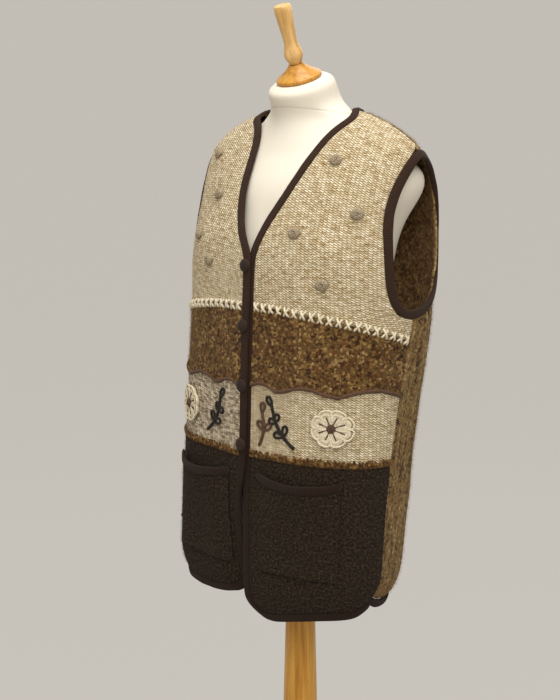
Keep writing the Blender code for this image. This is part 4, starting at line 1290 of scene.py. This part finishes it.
# %% [markdown]
# ## Studio
# The floor is pale and plain, and rises far away into a round backdrop, so that no horizon line shows
# from any side. The light is a large soft box high on one side, a weaker one on the other and an even
# glow from all round. The camera stands as the photographer's did: a little over chest height, well to
# the wearer's left, with a long lens.

# %% Floor, light and camera
FLOOR_FLAT = 5.6
FLOOR_RISE = 2.6
FLOOR_TOP = 8.0
FLOOR_STEPS = 96
BEND_STEPS = 12
PAPER = (80, 79, 76)
PAPER_GLOW = (203, 198, 190)
PAPER_STRENGTH = 0.83
LIGHT_AIM = Vector((0.0, 0.0, 1.0))


def backdrop():
    profile = [(0.0, 0.0), (FLOOR_FLAT, 0.0)]
    for i in range(1, BEND_STEPS + 1):
        turn = math.pi / 2 * i / BEND_STEPS
        profile.append((FLOOR_FLAT + FLOOR_RISE * math.sin(turn), FLOOR_RISE * (1 - math.cos(turn))))
    profile.append((FLOOR_FLAT + FLOOR_RISE, FLOOR_TOP))
    shape = spun(profile, FLOOR_STEPS)
    paper = Finish("studio paper", 0.95, shine=0.1)
    paper.shader.inputs["Base Color"].default_value = (*yarn(*PAPER), 1.0)
    paper.shader.inputs["Emission Color"].default_value = (*yarn(*PAPER_GLOW), 1.0)
    paper.shader.inputs["Emission Strength"].default_value = PAPER_STRENGTH
    mesh = bpy.data.meshes.new("studio_floor")
    shape.to_mesh(mesh)
    shape.free()
    mesh.materials.append(paper.material)
    mesh.shade_smooth()
    floor = bpy.data.objects.new("studio_floor", mesh)
    bpy.context.scene.collection.objects.link(floor)


def soft_box(name, azimuth, elevation, distance, size, power, colour):
    """A square area light that looks at the vest's middle."""
    light = bpy.data.lights.new(name, "AREA")
    light.size = size
    light.energy = power
    light.color = colour
    lamp = bpy.data.objects.new(name, light)
    a, e = math.radians(azimuth), math.radians(elevation)
    way = Vector((math.sin(a) * math.cos(e), -math.cos(a) * math.cos(e), math.sin(e)))
    lamp.location = LIGHT_AIM + way * distance
    lamp.rotation_euler = (-way).to_track_quat("-Z", "Y").to_euler()
    lamp.visible_camera = False
    bpy.context.scene.collection.objects.link(lamp)


WARM_WHITE = (1.0, 0.985, 0.96)
backdrop()
soft_box("key", 46.0, 34.0, 3.0, 1.9, 43.0, WARM_WHITE)
soft_box("fill", -70.0, 25.0, 3.2, 2.4, 4.0, WARM_WHITE)
soft_box("top", 40.0, 78.0, 2.4, 1.5, 44.0, (1.0, 0.99, 0.97))
soft_box("behind", 200.0, 35.0, 3.2, 2.4, 24.0, WARM_WHITE)
world = bpy.data.worlds.new("studio")
world.use_nodes = True
glow = world.node_tree.nodes["Background"]
glow.inputs["Color"].default_value = (*yarn(238, 236, 232), 1.0)
glow.inputs["Strength"].default_value = 0.5
bpy.context.scene.world = world
bpy.context.scene.view_settings.view_transform = "Standard"

CAMERA_AZIMUTH = math.radians(42.0)
CAMERA_DISTANCE = 2.45
CAMERA_HEIGHT = 1.45
CAMERA_SHIFT = 0.0035
CAMERA_TURN = math.radians(42.82)
CAMERA_TIP = math.radians(-9.73)
LENS = 82.3
camera = bpy.data.objects.new("camera", bpy.data.cameras.new("camera"))
camera.data.lens = LENS
camera.location = (
    CAMERA_DISTANCE * math.sin(CAMERA_AZIMUTH),
    CAMERA_SHIFT - CAMERA_DISTANCE * math.cos(CAMERA_AZIMUTH),
    CAMERA_HEIGHT,
)
camera.rotation_euler = (math.pi / 2 + CAMERA_TIP, 0.0, CAMERA_TURN)
bpy.context.scene.collection.objects.link(camera)
bpy.context.scene.camera = camera
print("camera at", [round(value, 3) for value in camera.location])
